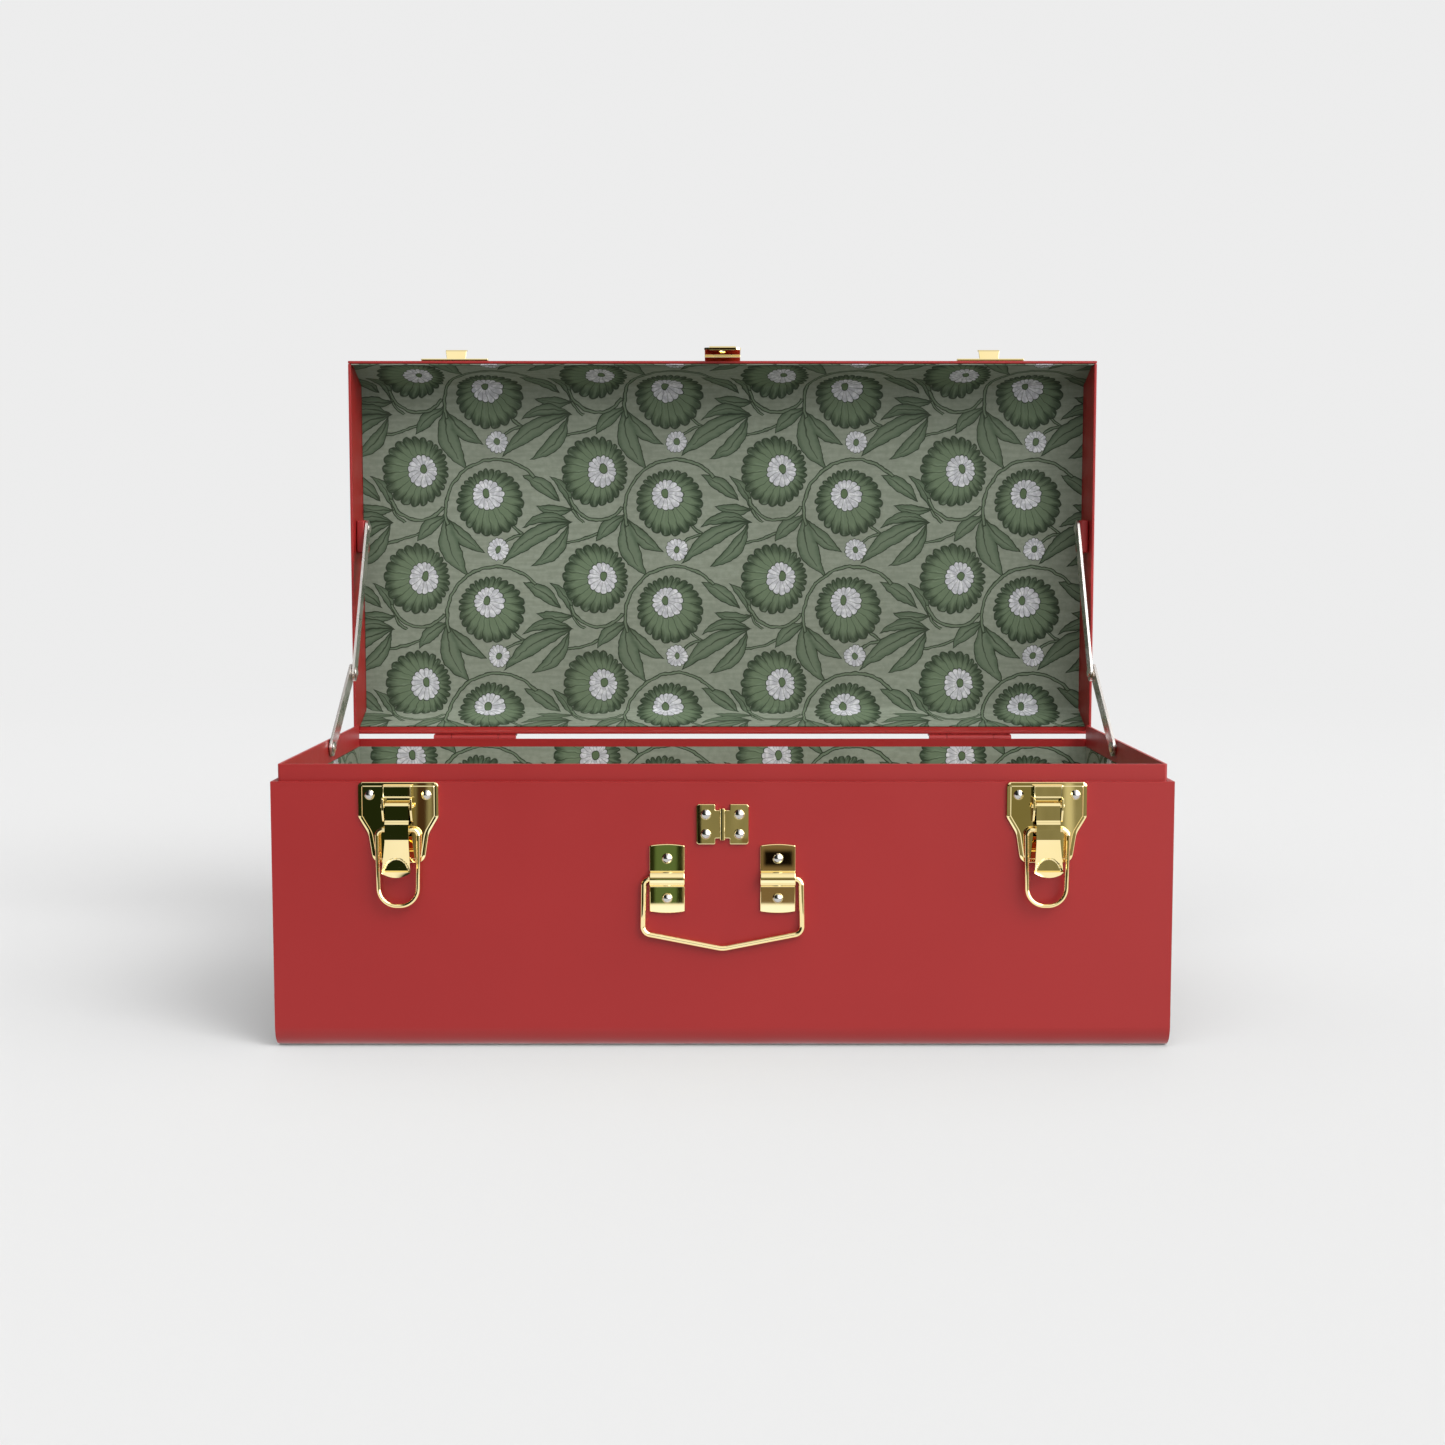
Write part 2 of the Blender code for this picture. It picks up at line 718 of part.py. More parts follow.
def latch_plate(x):
    """Shield plate with a raised hood and two ears that carry the lever's pin."""
    half = LATCH_PLATE_WIDTH / 2
    foot = LATCH_PLATE_FOOT / 2
    waist, waist_height = LATCH_WAIST
    outline = rounded(
        [
            (x - half, BASE_HEIGHT, 0.0022),
            (x - half, LATCH_SHOULDER, 0.0030),
            (x - waist, waist_height, 0.0100),
            (x - foot, LATCH_PLATE_BOTTOM, 0.0045),
            (x + foot, LATCH_PLATE_BOTTOM, 0.0045),
            (x + waist, waist_height, 0.0100),
            (x + half, LATCH_SHOULDER, 0.0030),
            (x + half, BASE_HEIGHT, 0.0022),
        ]
    )
    holes = [circle((x + step * LATCH_SCREW[0], LATCH_SCREW[1]), SCREW_HOLE, 12) for step in (-1, 1)]
    face = FRONT - GAP - PLATE
    plate = prism(outline, face, FRONT - GAP, "y", holes)
    hood_bottom, hood_top = HOOD_ENDS
    hood = box(
        (x - HOOD_WIDTH / 2, face - HOOD_STAND, hood_bottom),
        (x + HOOD_WIDTH / 2, face + SINK, hood_top),
    )
    hood = bevelled(hood, 0.0008)
    ear = rounded(
        [
            (face + SINK, LEVER_PIVOT + 0.0046, 0),
            (face + SINK, LEVER_PIVOT - 0.0054, 0),
            (face - EAR_STAND, LEVER_PIVOT - 0.0034, 0.0020),
            (face - EAR_STAND, LEVER_PIVOT + 0.0036, 0.0012),
        ]
    )
    bore = circle((LATCH_Y, LEVER_PIVOT), LATCH_PIN_RADIUS + PIN_PLAY, 12)
    ears = []
    for low in (-EAR_WIDTH / 2, EAR_WIDTH / 2 - EAR_SHEET):
        ears.append(prism(ear, x + low, x + low + EAR_SHEET, "x", [bore]))
    return combined(plate, [hood, *ears], "UNION")


def latch_lever(x):
    """Toggle lever: knuckle on the pin, sleeve round the bail, and a flared thumb tip."""
    pin_bore = LATCH_PIN_RADIUS + PIN_PLAY
    wire_bore = BAIL_WIRE + GAP
    knuckle = pin_bore + LEVER_SHEET
    sleeve = wire_bore + LEVER_SHEET
    face = LATCH_Y - knuckle
    path = rounded(
        [
            (face, LEVER_PIVOT, 0),
            (face, BAIL_PIVOT + 0.0050, 0.0020),
            (LATCH_Y - sleeve, BAIL_PIVOT + 0.0015, 0.0020),
            (LATCH_Y - sleeve, BAIL_PIVOT - 0.0015, 0.0020),
            (face + 0.0002, BAIL_PIVOT - 0.0050, 0.0030),
            (face - 0.0030, LEVER_TIP + 0.0030, 0.0060),
            (face - LEVER_TIP_STAND, LEVER_TIP, 0),
        ],
        closed=False,
    )
    band = strip(path, 0, path_length(path), -LEVER_SHEET, 0)
    half = LEVER_WIDTH / 2
    blade = prism(band, x - LEVER_TIP_WIDTH / 2, x + LEVER_TIP_WIDTH / 2, "x")
    knuckle_tube = prism(circle((LATCH_Y, LEVER_PIVOT), knuckle, 16), x - half, x + half, "x")
    sleeve_tube = prism(circle((LATCH_Y, BAIL_PIVOT), sleeve, 16), x - half, x + half, "x")
    thumb_centre = (x, LEVER_TIP - LEVER_SHEET + LEVER_TIP_RADIUS)
    top = LEVER_PIVOT + 0.0040
    flare = LEVER_TIP + 0.0170
    outline = [(x - half, top), (x - half, flare)]
    outline += arc(thumb_centre, LEVER_TIP_RADIUS, 215, 325, 8)
    outline += [(x + half, flare), (x + half, top)]
    trim = prism(outline, FRONT - 2 * CUT, FRONT, "y")
    blade = combined(blade, [trim], "INTERSECT")
    lever = combined(blade, [knuckle_tube, sleeve_tube], "UNION")
    bores = []
    for height, radius in ((LEVER_PIVOT, pin_bore), (BAIL_PIVOT, wire_bore)):
        bores.append(prism(circle((LATCH_Y, height), radius, 12), x - CUT, x + CUT, "x"))
    return combined(lever, bores, "DIFFERENCE")


def latch_pin(x):
    bar = circle((LATCH_Y, LEVER_PIVOT), LATCH_PIN_RADIUS, 12)
    return prism(bar, x - LATCH_PIN_LENGTH / 2, x + LATCH_PIN_LENGTH / 2, "x")


def latch_bail(x):
    """Closed wire loop: a straight bar in the lever's sleeve and a rounded end that hooks the catch."""
    loop = rounded(
        [
            (x - BAIL_HALF_WIDTH, BAIL_PIVOT, 0.0030),
            (x - BAIL_WAIST, BAIL_BOTTOM, 0.0089),
            (x + BAIL_WAIST, BAIL_BOTTOM, 0.0089),
            (x + BAIL_HALF_WIDTH, BAIL_PIVOT, 0.0030),
        ],
        steps=8,
    )
    return wire([(px, LATCH_Y, pz) for px, pz in loop], BAIL_WIRE, True)


# Staple, handle and screws


def staple_plate():
    """Two screwed plates joined by a narrow waist with a half-round barrel down its middle."""
    half_x = STAPLE_SIZE[0] / 2
    half_z = STAPLE_SIZE[1] / 2
    neck_x, neck_z = STAPLE_NECK
    z = STAPLE_CENTRE
    corners = []
    for sx, sz in ((-1, 1), (-1, -1), (1, -1), (1, 1)):
        outer = (sx * half_x, z + sz * half_z, 0.0014)
        notch = (sx * neck_x, z + sz * half_z, 0.0006)
        root = (sx * neck_x, z + sz * neck_z, 0.0004)
        corners += [root, notch, outer] if sx == -sz else [outer, notch, root]
    outline = rounded(corners, steps=3)
    holes = []
    for sx in (-1, 1):
        for sz in (-1, 1):
            holes.append(circle((sx * STAPLE_SCREW[0], z + sz * STAPLE_SCREW[1]), SCREW_HOLE, 12))
    plate = prism(outline, FRONT - GAP - PLATE, FRONT - GAP, "y", holes)
    ridge = arc((0, FRONT - GAP - PLATE + SINK), STAPLE_BARREL + STEP, 180, 360, 8)
    barrel = prism(ridge, z - neck_z - GAP - SINK, z + neck_z + GAP + SINK, "z")
    return combined(plate, [barrel], "UNION")


def handle_bracket(x):
    """Strap over the handle's wire: two flat pads and a half-round saddle between them."""
    low, high = HANDLE_BRACKET_ENDS
    back = FRONT - GAP
    saddle = HANDLE_WIRE + WIRE_PLAY
    outer = saddle + PLATE
    top = HANDLE_AXIS + outer
    foot = HANDLE_AXIS - outer
    front = HANDLE_Y - saddle
    path = rounded(
        [
            (back, high, 0),
            (back, top, 0.0014),
            (front, top - GAP, 0.0016),
            (front, foot + GAP, 0.0016),
            (back, foot, 0.0014),
            (back, low, 0),
        ],
        closed=False,
    )
    profile = strip(path, 0, path_length(path), 0, PLATE)
    half = HANDLE_BRACKET_WIDTH / 2
    bow = HANDLE_BRACKET_BOW
    outline = arc((x, high - bow), bow, 101, 79, 6) + arc((x, low + bow), bow, -79, -101, 6)
    holes = [circle((x, z), SCREW_HOLE, 12) for z in HANDLE_SCREWS]
    return pressed(profile, (x - half, x + half), "x", outline, holes)


def drop_handle():
    """Wire handle: two stubs under the straps, two legs and a shallow V."""
    inner = HANDLE_BRACKET_PLACE - HANDLE_BRACKET_WIDTH / 2 - 2 * LID_GAP
    top = HANDLE_HALF_WIDTH - HANDLE_SPLAY
    half = HANDLE_HALF_WIDTH
    path = rounded(
        [
            (-inner, HANDLE_AXIS, 0),
            (-top, HANDLE_AXIS, 0.0032),
            (-half, HANDLE_CORNER, 0.0042),
            (0, HANDLE_BOTTOM, 0.0120),
            (half, HANDLE_CORNER, 0.0042),
            (top, HANDLE_AXIS, 0.0032),
            (inner, HANDLE_AXIS, 0),
        ],
        closed=False,
        steps=6,
    )
    return wire([(px, HANDLE_Y, pz) for px, pz in path], HANDLE_WIRE, False)


def screw(x, z):
    """Dome-headed screw through the front wall."""
    profile = dome(SCREW_HEAD, SCREW_DOME, SCREW_SHANK, SCREW_LENGTH)
    return turned(profile, (x, FRONT - 2 * GAP - PLATE, z), (0, -1, 0), 14)


# Hardware on the lid, made closed


def lid_catch(x):
    """Plate that follows the lid's front, with a flared hook that the bail pulls down on."""
    section = lid_section()
    rim = path_length(section)
    low, high = CATCH_ENDS
    outline = strip(section, rim - high, rim - low, GAP, GAP + PLATE)
    plate = prism(outline, x - CATCH_WIDTH / 2, x + CATCH_WIDTH / 2, "x")
    raised_bail = 2 * BAIL_PIVOT - BAIL_BOTTOM
    arm = raised_bail - BAIL_WIRE - HOOK_DROP
    nose = LATCH_Y - BAIL_WIRE - LID_GAP
    path = rounded(
        [
            (FRONT + SINK, arm, 0),
            (nose, arm, 0.0010),
            (nose - SINK, raised_bail + HOOK_LIP, 0),
        ],
        closed=False,
    )
    root, tip = (width / 2 for width in HOOK_WIDTHS)
    hook = prism(strip(path, 0, path_length(path), -PLATE, 0), x - tip, x + tip, "x")
    outline = [
        (x - root, FRONT + SHEET),
        (x - tip, nose - 2 * PLATE),
        (x + tip, nose - 2 * PLATE),
        (x + root, FRONT + SHEET),
    ]
    trim = prism(outline, LID_FOOT, LID_FOOT + LID_HEIGHT, "z")
    hook = combined(hook, [trim], "INTERSECT")
    return combined(plate, [hook], "UNION")


def hasp_leaf():
    """Leaf on the lid's sloping front whose edge bends out to the two end knuckles."""
    section = lid_section()
    rim = path_length(section)
    low, high = HASP_LEAF_ENDS
    wall = shifted(cut_path(section, rim - high, rim - low), GAP)
    neck = (HASP_AXIS[0], HASP_AXIS[1] + HASP_KNUCKLE - WIRE_PLAY)
    path = [tuple(point) for point in wall] + [neck]
    half = HASP_WIDTH / 2
    leaf = prism(strip(path, 0, path_length(path), 0, PLATE), -half, half, "x")
    notch = box(
        (-half / 2, HASP_AXIS[0] - CUT, HASP_AXIS[1] - HASP_KNUCKLE - GAP),
        (half / 2, FRONT + SHEET, HASP_AXIS[1] + HASP_KNUCKLE + GAP),
    )
    leaf = combined(leaf, [notch], "DIFFERENCE")
    bore = circle(HASP_AXIS, HASP_PIN_RADIUS + PIN_PLAY, 12)
    ring = circle(HASP_AXIS, HASP_KNUCKLE, 16)
    knuckles = []
    for sign in (-1, 1):
        faces = sorted((sign * (half / 2 + STEP), sign * (half - STEP)))
        knuckles.append(prism(ring, faces[0], faces[1], "x", [bore]))
    return combined(leaf, knuckles, "UNION")


def hasp_pin():
    half = HASP_WIDTH / 2
    return prism(circle(HASP_AXIS, HASP_PIN_RADIUS, 12), -half, half, "x")


def hasp_flap():
    """Slotted flap that hangs over the staple, with a rolled lip at its tip."""
    half = HASP_WIDTH / 2
    inner = FRONT - HASP_STAND
    tip = LID_FOOT - HASP_REACH
    neck = half / 2 - GAP
    shoulder = HASP_AXIS[1] - HASP_KNUCKLE - GAP
    plate = prism(rectangle((inner - PLATE, tip), (inner, HASP_AXIS[1])), -half, half, "x")
    outline = rounded(
        [
            (-half, tip, HASP_CORNER),
            (half, tip, HASP_CORNER),
            (half, shoulder, 0),
            (neck, shoulder, 0),
            (neck, HASP_AXIS[1], 0),
            (-neck, HASP_AXIS[1], 0),
            (-neck, shoulder, 0),
            (-half, shoulder, 0),
        ]
    )
    slot_half = HASP_SLOT_WIDTH / 2
    slot_low, slot_high = (tip + end for end in HASP_SLOT_ENDS)
    corner = slot_half - STEP
    slot = rounded(
        [
            (-slot_half, slot_low, corner),
            (slot_half, slot_low, corner),
            (slot_half, slot_high, corner),
            (-slot_half, slot_high, corner),
        ]
    )
    trim = prism(outline, inner - CUT, inner + CUT, "y", [slot])
    plate = combined(plate, [trim], "INTERSECT")
    knuckle = prism(circle(HASP_AXIS, HASP_KNUCKLE, 16), -neck, neck, "x")
    roll = HASP_KNUCKLE / 2 + WIRE_PLAY
    roll_reach = half - roll - HASP_KNUCKLE
    lip = prism(circle((inner - HASP_PIN_RADIUS, tip + roll), roll, 12), -roll_reach, roll_reach, "x")
    flap = combined(plate, [knuckle, lip], "UNION")
    bore = prism(circle(HASP_AXIS, HASP_PIN_RADIUS + PIN_PLAY, 12), -half, half, "x")
    return combined(flap, [bore], "DIFFERENCE")


# Trays


def tray(sign, across, along):
    """Lift-out tray with walls, a floor and a grid of dividers."""
    low_x, high_x = sorted((sign * TRAY_PARTING, sign * TRAY_SIDE))
    low = Vector((low_x, -TRAY_DEPTH / 2, TRAY_TOP - TRAY_HEIGHT))
    high = Vector((high_x, TRAY_DEPTH / 2, TRAY_TOP))
    body = box(low, high)
    pockets = []
    room_x = (high.x - low.x - TRAY_WALL) / across
    room_y = (high.y - low.y - TRAY_WALL) / along
    for column in range(across):
        for row in range(along):
            corner = (
                low.x + TRAY_WALL + column * room_x,
                low.y + TRAY_WALL + row * room_y,
                low.z + TRAY_FLOOR,
            )
            far = (corner[0] + room_x - TRAY_WALL, corner[1] + room_y - TRAY_WALL, TRAY_TOP + CUT)
            pockets.append(box(corner, far))
    return combined(body, pockets, "DIFFERENCE")


def tray_ledge(sign):
    """Batten along the front or back of the lining that both trays rest on."""
    wall = BACK - SHEET - GAP - BASE_LINING if sign > 0 else COLLAR_OUT_Y + COLLAR_SHEET
    faces = sorted((wall - sign * GAP, wall - sign * (GAP + LEDGE)))
    top = TRAY_TOP - TRAY_HEIGHT - GAP
    return box((-TRAY_SIDE, faces[0], top - LEDGE), (TRAY_SIDE, faces[1], top))


def build():
    clear_scene()
    box_assembly = Assembly()
    add = box_assembly.add

    add(base_wrap(), "base_wrap", RED)
    add(base_collar(), "base_collar", RED)
    add(base_lining(), "base_lining", SAGE)
    add(lid_wrap(), "lid_wrap", RED, HINGE, on_lid=True)
    add(lid_lining(), "lid_lining", SAGE, HINGE, on_lid=True)
    add(staple_plate(), "hasp_staple_plate", BRASS)
    add(hasp_leaf(), "hasp_leaf", BRASS, HINGE, on_lid=True)
    add(hasp_pin(), "hasp_pin", BRASS, (0, *HASP_AXIS), on_lid=True)
    add(hasp_flap(), "hasp_flap", BRASS, (0, *HASP_AXIS), on_lid=True)
    add(drop_handle(), "drop_handle", BRASS, (0, HANDLE_Y, HANDLE_AXIS))
    for name, x, z in screw_places():
        add(screw(x, z), name, SILVER)
    add(tray_ledge(-1), "tray_ledge_front", BOARD)
    add(tray_ledge(1), "tray_ledge_back", BOARD)

    ends, middle, end_notches, middle_notches = hinge_spans()
    base_profile, lid_profile = hinge_profiles()
    joint = elbow(STAY_LID_PIVOT, STAY_BASE_PIVOT)
    for side, sign in (("left", -1), ("right", 1)):
        add(base_end(sign), f"base_end_{side}", RED)
        add(lid_end(sign), f"lid_end_{side}", RED, HINGE, on_lid=True)
        leaf = hinge_leaf(base_profile, sign, ends, middle_notches)
        add(leaf, f"hinge_base_leaf_{side}", RED)
        leaf = hinge_leaf(lid_profile, sign, middle, end_notches)
        add(leaf, f"hinge_lid_leaf_{side}", RED, HINGE, on_lid=True)
        add(hinge_pin(sign), f"hinge_pin_{side}", RED)

        upper = stay_link(STAY_LID_PIVOT, joint, UPPER_STAY_PLANE, sign)
        origin = (sign * UPPER_STAY_PLANE, *STAY_LID_PIVOT)
        add(upper, f"stay_upper_link_{side}", SILVER, origin)
        lower = stay_link(STAY_BASE_PIVOT, joint, LOWER_STAY_PLANE, sign)
        origin = (sign * LOWER_STAY_PLANE, *STAY_BASE_PIVOT)
        add(lower, f"stay_lower_link_{side}", SILVER, origin)
        add(stay_block(sign), f"stay_lid_block_{side}", RED)
        head = UPPER_STAY_PLANE - GAP
        reach = SIDE - SHEET - GAP - head
        add(rivet(head, reach, STAY_LID_PIVOT, sign), f"stay_lid_rivet_{side}", SILVER)
        add(rivet(head, GAP + STAY_SHEET, joint, sign), f"stay_elbow_rivet_{side}", SILVER)
        head = LOWER_STAY_PLANE - GAP
        reach = COLLAR_OUT_X - head
        add(rivet(head, reach, STAY_BASE_PIVOT, sign), f"stay_base_rivet_{side}", SILVER)

        x = sign * LATCH_PLACE
        add(latch_plate(x), f"latch_plate_{side}", BRASS)
        add(latch_lever(x), f"latch_lever_{side}", BRASS, (x, LATCH_Y, LEVER_PIVOT))
        add(latch_pin(x), f"latch_pin_{side}", BRASS)
        add(latch_bail(x), f"latch_bail_{side}", BRASS, (x, LATCH_Y, BAIL_PIVOT))
        add(lid_catch(x), f"lid_catch_{side}", BRASS, HINGE, on_lid=True)
        x = sign * HANDLE_BRACKET_PLACE
        add(handle_bracket(x), f"handle_bracket_{side}", BRASS)

    add(tray(-1, 2, 3), "tray_left", BOARD)
    add(tray(1, 3, 2), "tray_right", BOARD)
    box_assembly.open_lid()


build()
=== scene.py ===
"""Looks of the steel trunk sewing box: printed linings, brass hardware with rolled edges, satin
red paint, trays with felt floors, the stage, the light and the camera. Metres, in the CAD's frame."""

import json
import math

import bmesh
import bpy
from mathutils import Matrix, Vector


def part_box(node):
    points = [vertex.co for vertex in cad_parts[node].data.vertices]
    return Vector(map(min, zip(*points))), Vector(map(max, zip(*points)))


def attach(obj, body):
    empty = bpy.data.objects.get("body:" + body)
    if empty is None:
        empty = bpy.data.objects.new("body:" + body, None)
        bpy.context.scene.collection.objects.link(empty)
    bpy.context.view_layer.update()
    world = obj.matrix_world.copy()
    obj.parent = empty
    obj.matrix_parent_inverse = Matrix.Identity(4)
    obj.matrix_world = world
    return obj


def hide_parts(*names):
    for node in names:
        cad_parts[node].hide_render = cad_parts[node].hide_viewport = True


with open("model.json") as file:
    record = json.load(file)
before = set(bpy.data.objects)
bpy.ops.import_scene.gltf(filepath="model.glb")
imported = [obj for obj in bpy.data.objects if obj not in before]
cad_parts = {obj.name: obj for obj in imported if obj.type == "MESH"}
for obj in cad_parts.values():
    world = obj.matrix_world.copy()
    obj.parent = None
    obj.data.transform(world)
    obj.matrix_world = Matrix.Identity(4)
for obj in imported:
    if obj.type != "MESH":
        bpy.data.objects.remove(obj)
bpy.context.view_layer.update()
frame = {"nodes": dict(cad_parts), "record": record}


def tone(red, green, blue):
    """A screen colour, 0 to 255, as linear light."""
    channels = []
    for value in (red, green, blue):
        share = value / 255
        channels.append(share / 12.92 if share <= 0.04045 else ((share + 0.055) / 1.055) ** 2.4)
    return (*channels, 1.0)


def grey(level):
    """A neutral colour or light."""
    return (level, level, level, 1.0)


# Sheets and gaps of the steel box, as in the CAD model
WIDTH = 0.450
DEPTH = 0.225
LID_HEIGHT = 0.037
LID_FOOT = 0.1354
SHEET = 0.0015
GAP = 0.0003
EDGE_RADIUS = 0.011
HINGE = Vector((0, 0.1151, 0.1350))
FRONT = -DEPTH / 2
BACK = DEPTH / 2
SIDE = WIDTH / 2
LID_RIM = 0.0080
LID_INSET = 0.0105
LID_BEND_RADIUS = 0.0060
LID_TOP_RADIUS = 0.0048
BARE_LID_BACK = 0.0130
LID_LINING = 0.0005
BASE_BOARD = 0.0008
BOARD_GAP = 0.00005
PLATE = 0.0012
PLATE_FACE = FRONT - GAP - PLATE

# Rolled edges: a pressed plate's, and bevels as width, segments and lowest angle
PRESSED_ROLL = 0.0004
CAD_ROLL = (0.00025, 2, 30)
LATCH_ROLL = (0.00018, 2, 50)
STAPLE_ROLL = (0.00012, 2, 60)
STRAP_ROLL = (0.0004, 3, 60)
WELD_DISTANCE = 2e-6
FLAT_ANGLE = math.radians(0.8)

# Latch plate, its outline as half width, height and corner radius
LATCH_PLACE = 0.1612
LATCH_CORNERS = (
    (0.0200, 0.1350, 0.0022),
    (0.0200, 0.1175, 0.0030),
    (0.0150, 0.1090, 0.0100),
    (0.0128, 0.0945, 0.0045),
)
FIELD_INSET = 0.0023
FIELD_RISE = 0.00045
HOOD_WIDTH = 0.0148
HOOD_STAND = 0.0042
HOOD_ENDS = (0.1274, 0.1339)
HOOD_CORNER = 0.0006
HOOD_RIM = 0.0003
HOOD_HOLLOW = 0.0002
HOOD_HOLLOW_INSETS = (0.0001, 0.0003)
EAR_WIDTH = 0.0150
EAR_SHEET = 0.0010
LEVER_PIVOT = 0.1234
# Ear's side view as distance in front of the plate, height and corner radius
EAR_SIDE = (
    (-0.0005, LEVER_PIVOT + 0.0042, 0),
    (-0.0005, LEVER_PIVOT - 0.0084, 0),
    (0.0030, LEVER_PIVOT - 0.0078, 0.0012),
    (0.0056, LEVER_PIVOT - 0.0024, 0.0020),
    (0.0056, LEVER_PIVOT + 0.0040, 0.0006),
)

# Lever and bail, which hang in one plane
BAIL_PIVOT = 0.1115
LATCH_Y = FRONT - 0.0047
LEVER_WIDTH = 0.0118
LEVER_TIP_WIDTH = 0.0142
LEVER_FLARE = (0.0170, 0.0015)
LEVER_SHEET = 0.0009
LEVER_TIP = 0.0886
KNUCKLE_RADIUS = 0.0021
SLEEVE_RADIUS = 0.00245
# Lever's side view as distance in front of that plane, height and bend radius
LEVER_SIDE = (
    (0.0021, LEVER_PIVOT, 0),
    (0.0021, 0.1161, 0.0008),
    (0.0032, 0.1149, 0.0008),
    (0.0034, 0.1120, 0.0004),
    (0.0034, 0.1070, 0.0003),
    (0.0071, LEVER_TIP, 0),
)
SCOOP_FOOT = LEVER_TIP + 0.0028
SCOOP_HEIGHT = 0.0066
SCOOP_HALF_WIDTH = 0.0062
SCOOP_FLARE = 0.0014
SCOOP_RIM = 0.0003
SCOOP_SINK = 0.0003
TIP_BOW = 0.8
BAIL_WIRE = 0.00115
BAIL_HALF_WIDTH = 0.0103
BAIL_WAIST = 0.0096
BAIL_BOTTOM = 0.0733
BAIL_RADII = (0.0030, 0.0089)

# Handle, its brackets, the staple plate and the screws
HANDLE_AXIS = 0.0864
HANDLE_WIRE = 0.00145
WIRE_PLAY = 0.0002
HANDLE_Y = FRONT - GAP - HANDLE_WIRE - WIRE_PLAY
HANDLE_HALF_WIDTH = 0.0398
HANDLE_SPLAY = 0.0005
HANDLE_CORNER = 0.0590
HANDLE_BOTTOM = 0.0512
HANDLE_RADII = (0.0032, 0.0042, 0.0120)
HANDLE_END_PLAY = 0.0004
BRACKET_PLACE = 0.0276
BRACKET_WIDTH = 0.0176
BRACKET_ENDS = (0.0691, 0.1039)
BRACKET_BOW = 0.0484
BOWED_END = 0.001
SADDLE_RADII = (0.0013, 0.0020)
STAPLE_CENTRE = 0.1138
STAPLE_HALF = (0.01305, 0.0101)
STAPLE_NECK = (0.0036, 0.0071)
STAPLE_RADII = (0.0014, 0.0006, 0.0004)
BARREL_RADIUS = 0.0015
BARREL_SINK = 0.0005
BARREL_REACH = 0.0008
SCREW_HEAD = 0.0026
SCREW_DOME = 0.0017
SHANK = (0.0012, 0.0040)
HEAD_EDGE = 0.0001
DOME_END = 88.5

# Felt in the trays, its crown as inset and share of its thickness
TRAY_WALL = 0.0030
TRAY_FLOOR = 0.0030
FELT_PLAY = 0.0006
FELT_LIFT = 0.0001
FELT_THICKNESS = 0.0012
FELT_CORNER = 0.0020
FELT_CROWN = ((0.0, 0.0), (0.0, 0.7), (0.0003, 0.95), (0.0009, 1.0))

# The printed lining: a repeat of blooms, scrolling stems and leaves, in millimetres
REPEAT = (111.3, 66.4)
REPEAT_ORIGIN = (-185.4, 299.5)
BASE_PRINT_SHIFT = (0.0032, 0.0417)
WOBBLE = 2.6
PETALS = 24
PETAL_DEPTH = 0.11
BLOOM_EYE = (2.2, 3.0)
WHITE_PETALS = (16, 15)
WHITE_PETAL_DEPTH = 0.16
DAISY_EYE = (1.7, 2.2)
RING_HALF_WIDTH = 0.95
STEM_HALF_WIDTH = 0.8
GROUND = tone(147, 155, 139)
GROUND_SHADE = tone(133, 141, 125)
LEAF = tone(106, 121, 99)
LEAF_SHADE = tone(78, 95, 74)
INK = tone(38, 50, 35)
PETAL = tone(106, 124, 97)
PETAL_TIP = tone(37, 53, 35)
PETAL_GLOW = tone(124, 142, 117)
WHITE = tone(231, 232, 235)
WHITE_SHADE = tone(192, 193, 199)
EYE = tone(92, 112, 80)

# Blooms as centre, radii, white centre, its radii, eye
BLOOMS = (
    ((-5.2, -1.6), (20.6, 21.9), (-0.8, -1.4), (9.1, 10.2), (0.0, 0.0)),
    ((41.3, -21.0), (20.9, 21.0), (39.9, -16.2), (9.9, 9.6), (38.4, -15.2)),
)
DAISY = ((45.6, -49.8), 6.8)
# Arcs as centre, radius, first and last angle in degrees
ARCS = (
    ((44.7, -25.5), 31.4, 42, 196),
    ((-3.3, -13.5), 18.0, 198, 324),
)
# Stems as start, end, sideways bend
STEMS = (
    ((14.0, -27.5), (-27.0, -46.0), 4.0),
    ((53.0, -33.0), (62.0, -40.6), -0.6),
    ((49.6, -45.6), (61.5, -40.6), 1.2),
    ((91.5, -22.5), (99.5, -33.0), -1.5),
)
# Sprays of leaves, each leaf as base, tip, half width, sideways bend
SPRAYS = (
    (
        ((14.5, -29.0), (-4.6, -45.0), 4.4, -2.4),
        ((14.0, -28.0), (27.0, -66.5), 6.4, -5.0),
        ((15.0, -31.0), (37.6, -51.5), 4.3, -2.6),
    ),
    (
        ((84.5, -20.0), (61.0, -3.6), 4.4, -1.6),
        ((91.5, -24.5), (78.0, -4.2), 3.0, -3.0),
        ((93.0, -25.0), (69.0, -22.8), 3.4, 1.6),
    ),
    (
        ((92.0, -33.0), (60.6, -36.4), 3.5, -5.0),
        ((92.0, -33.0), (48.6, -58.8), 5.4, -4.6),
        ((90.0, -34.0), (66.0, -60.5), 4.6, 4.4),
    ),
)

# Metals, and the paint's colour in the light that it throws back, grey to keep the floor neutral
BRASS = (tone(247, 226, 160), tone(252, 234, 182))
NICKEL = (tone(186, 184, 180), tone(204, 202, 198))
STEEL = (tone(226, 220, 214), tone(240, 234, 229))
BOUNCE = tone(92, 84, 82)

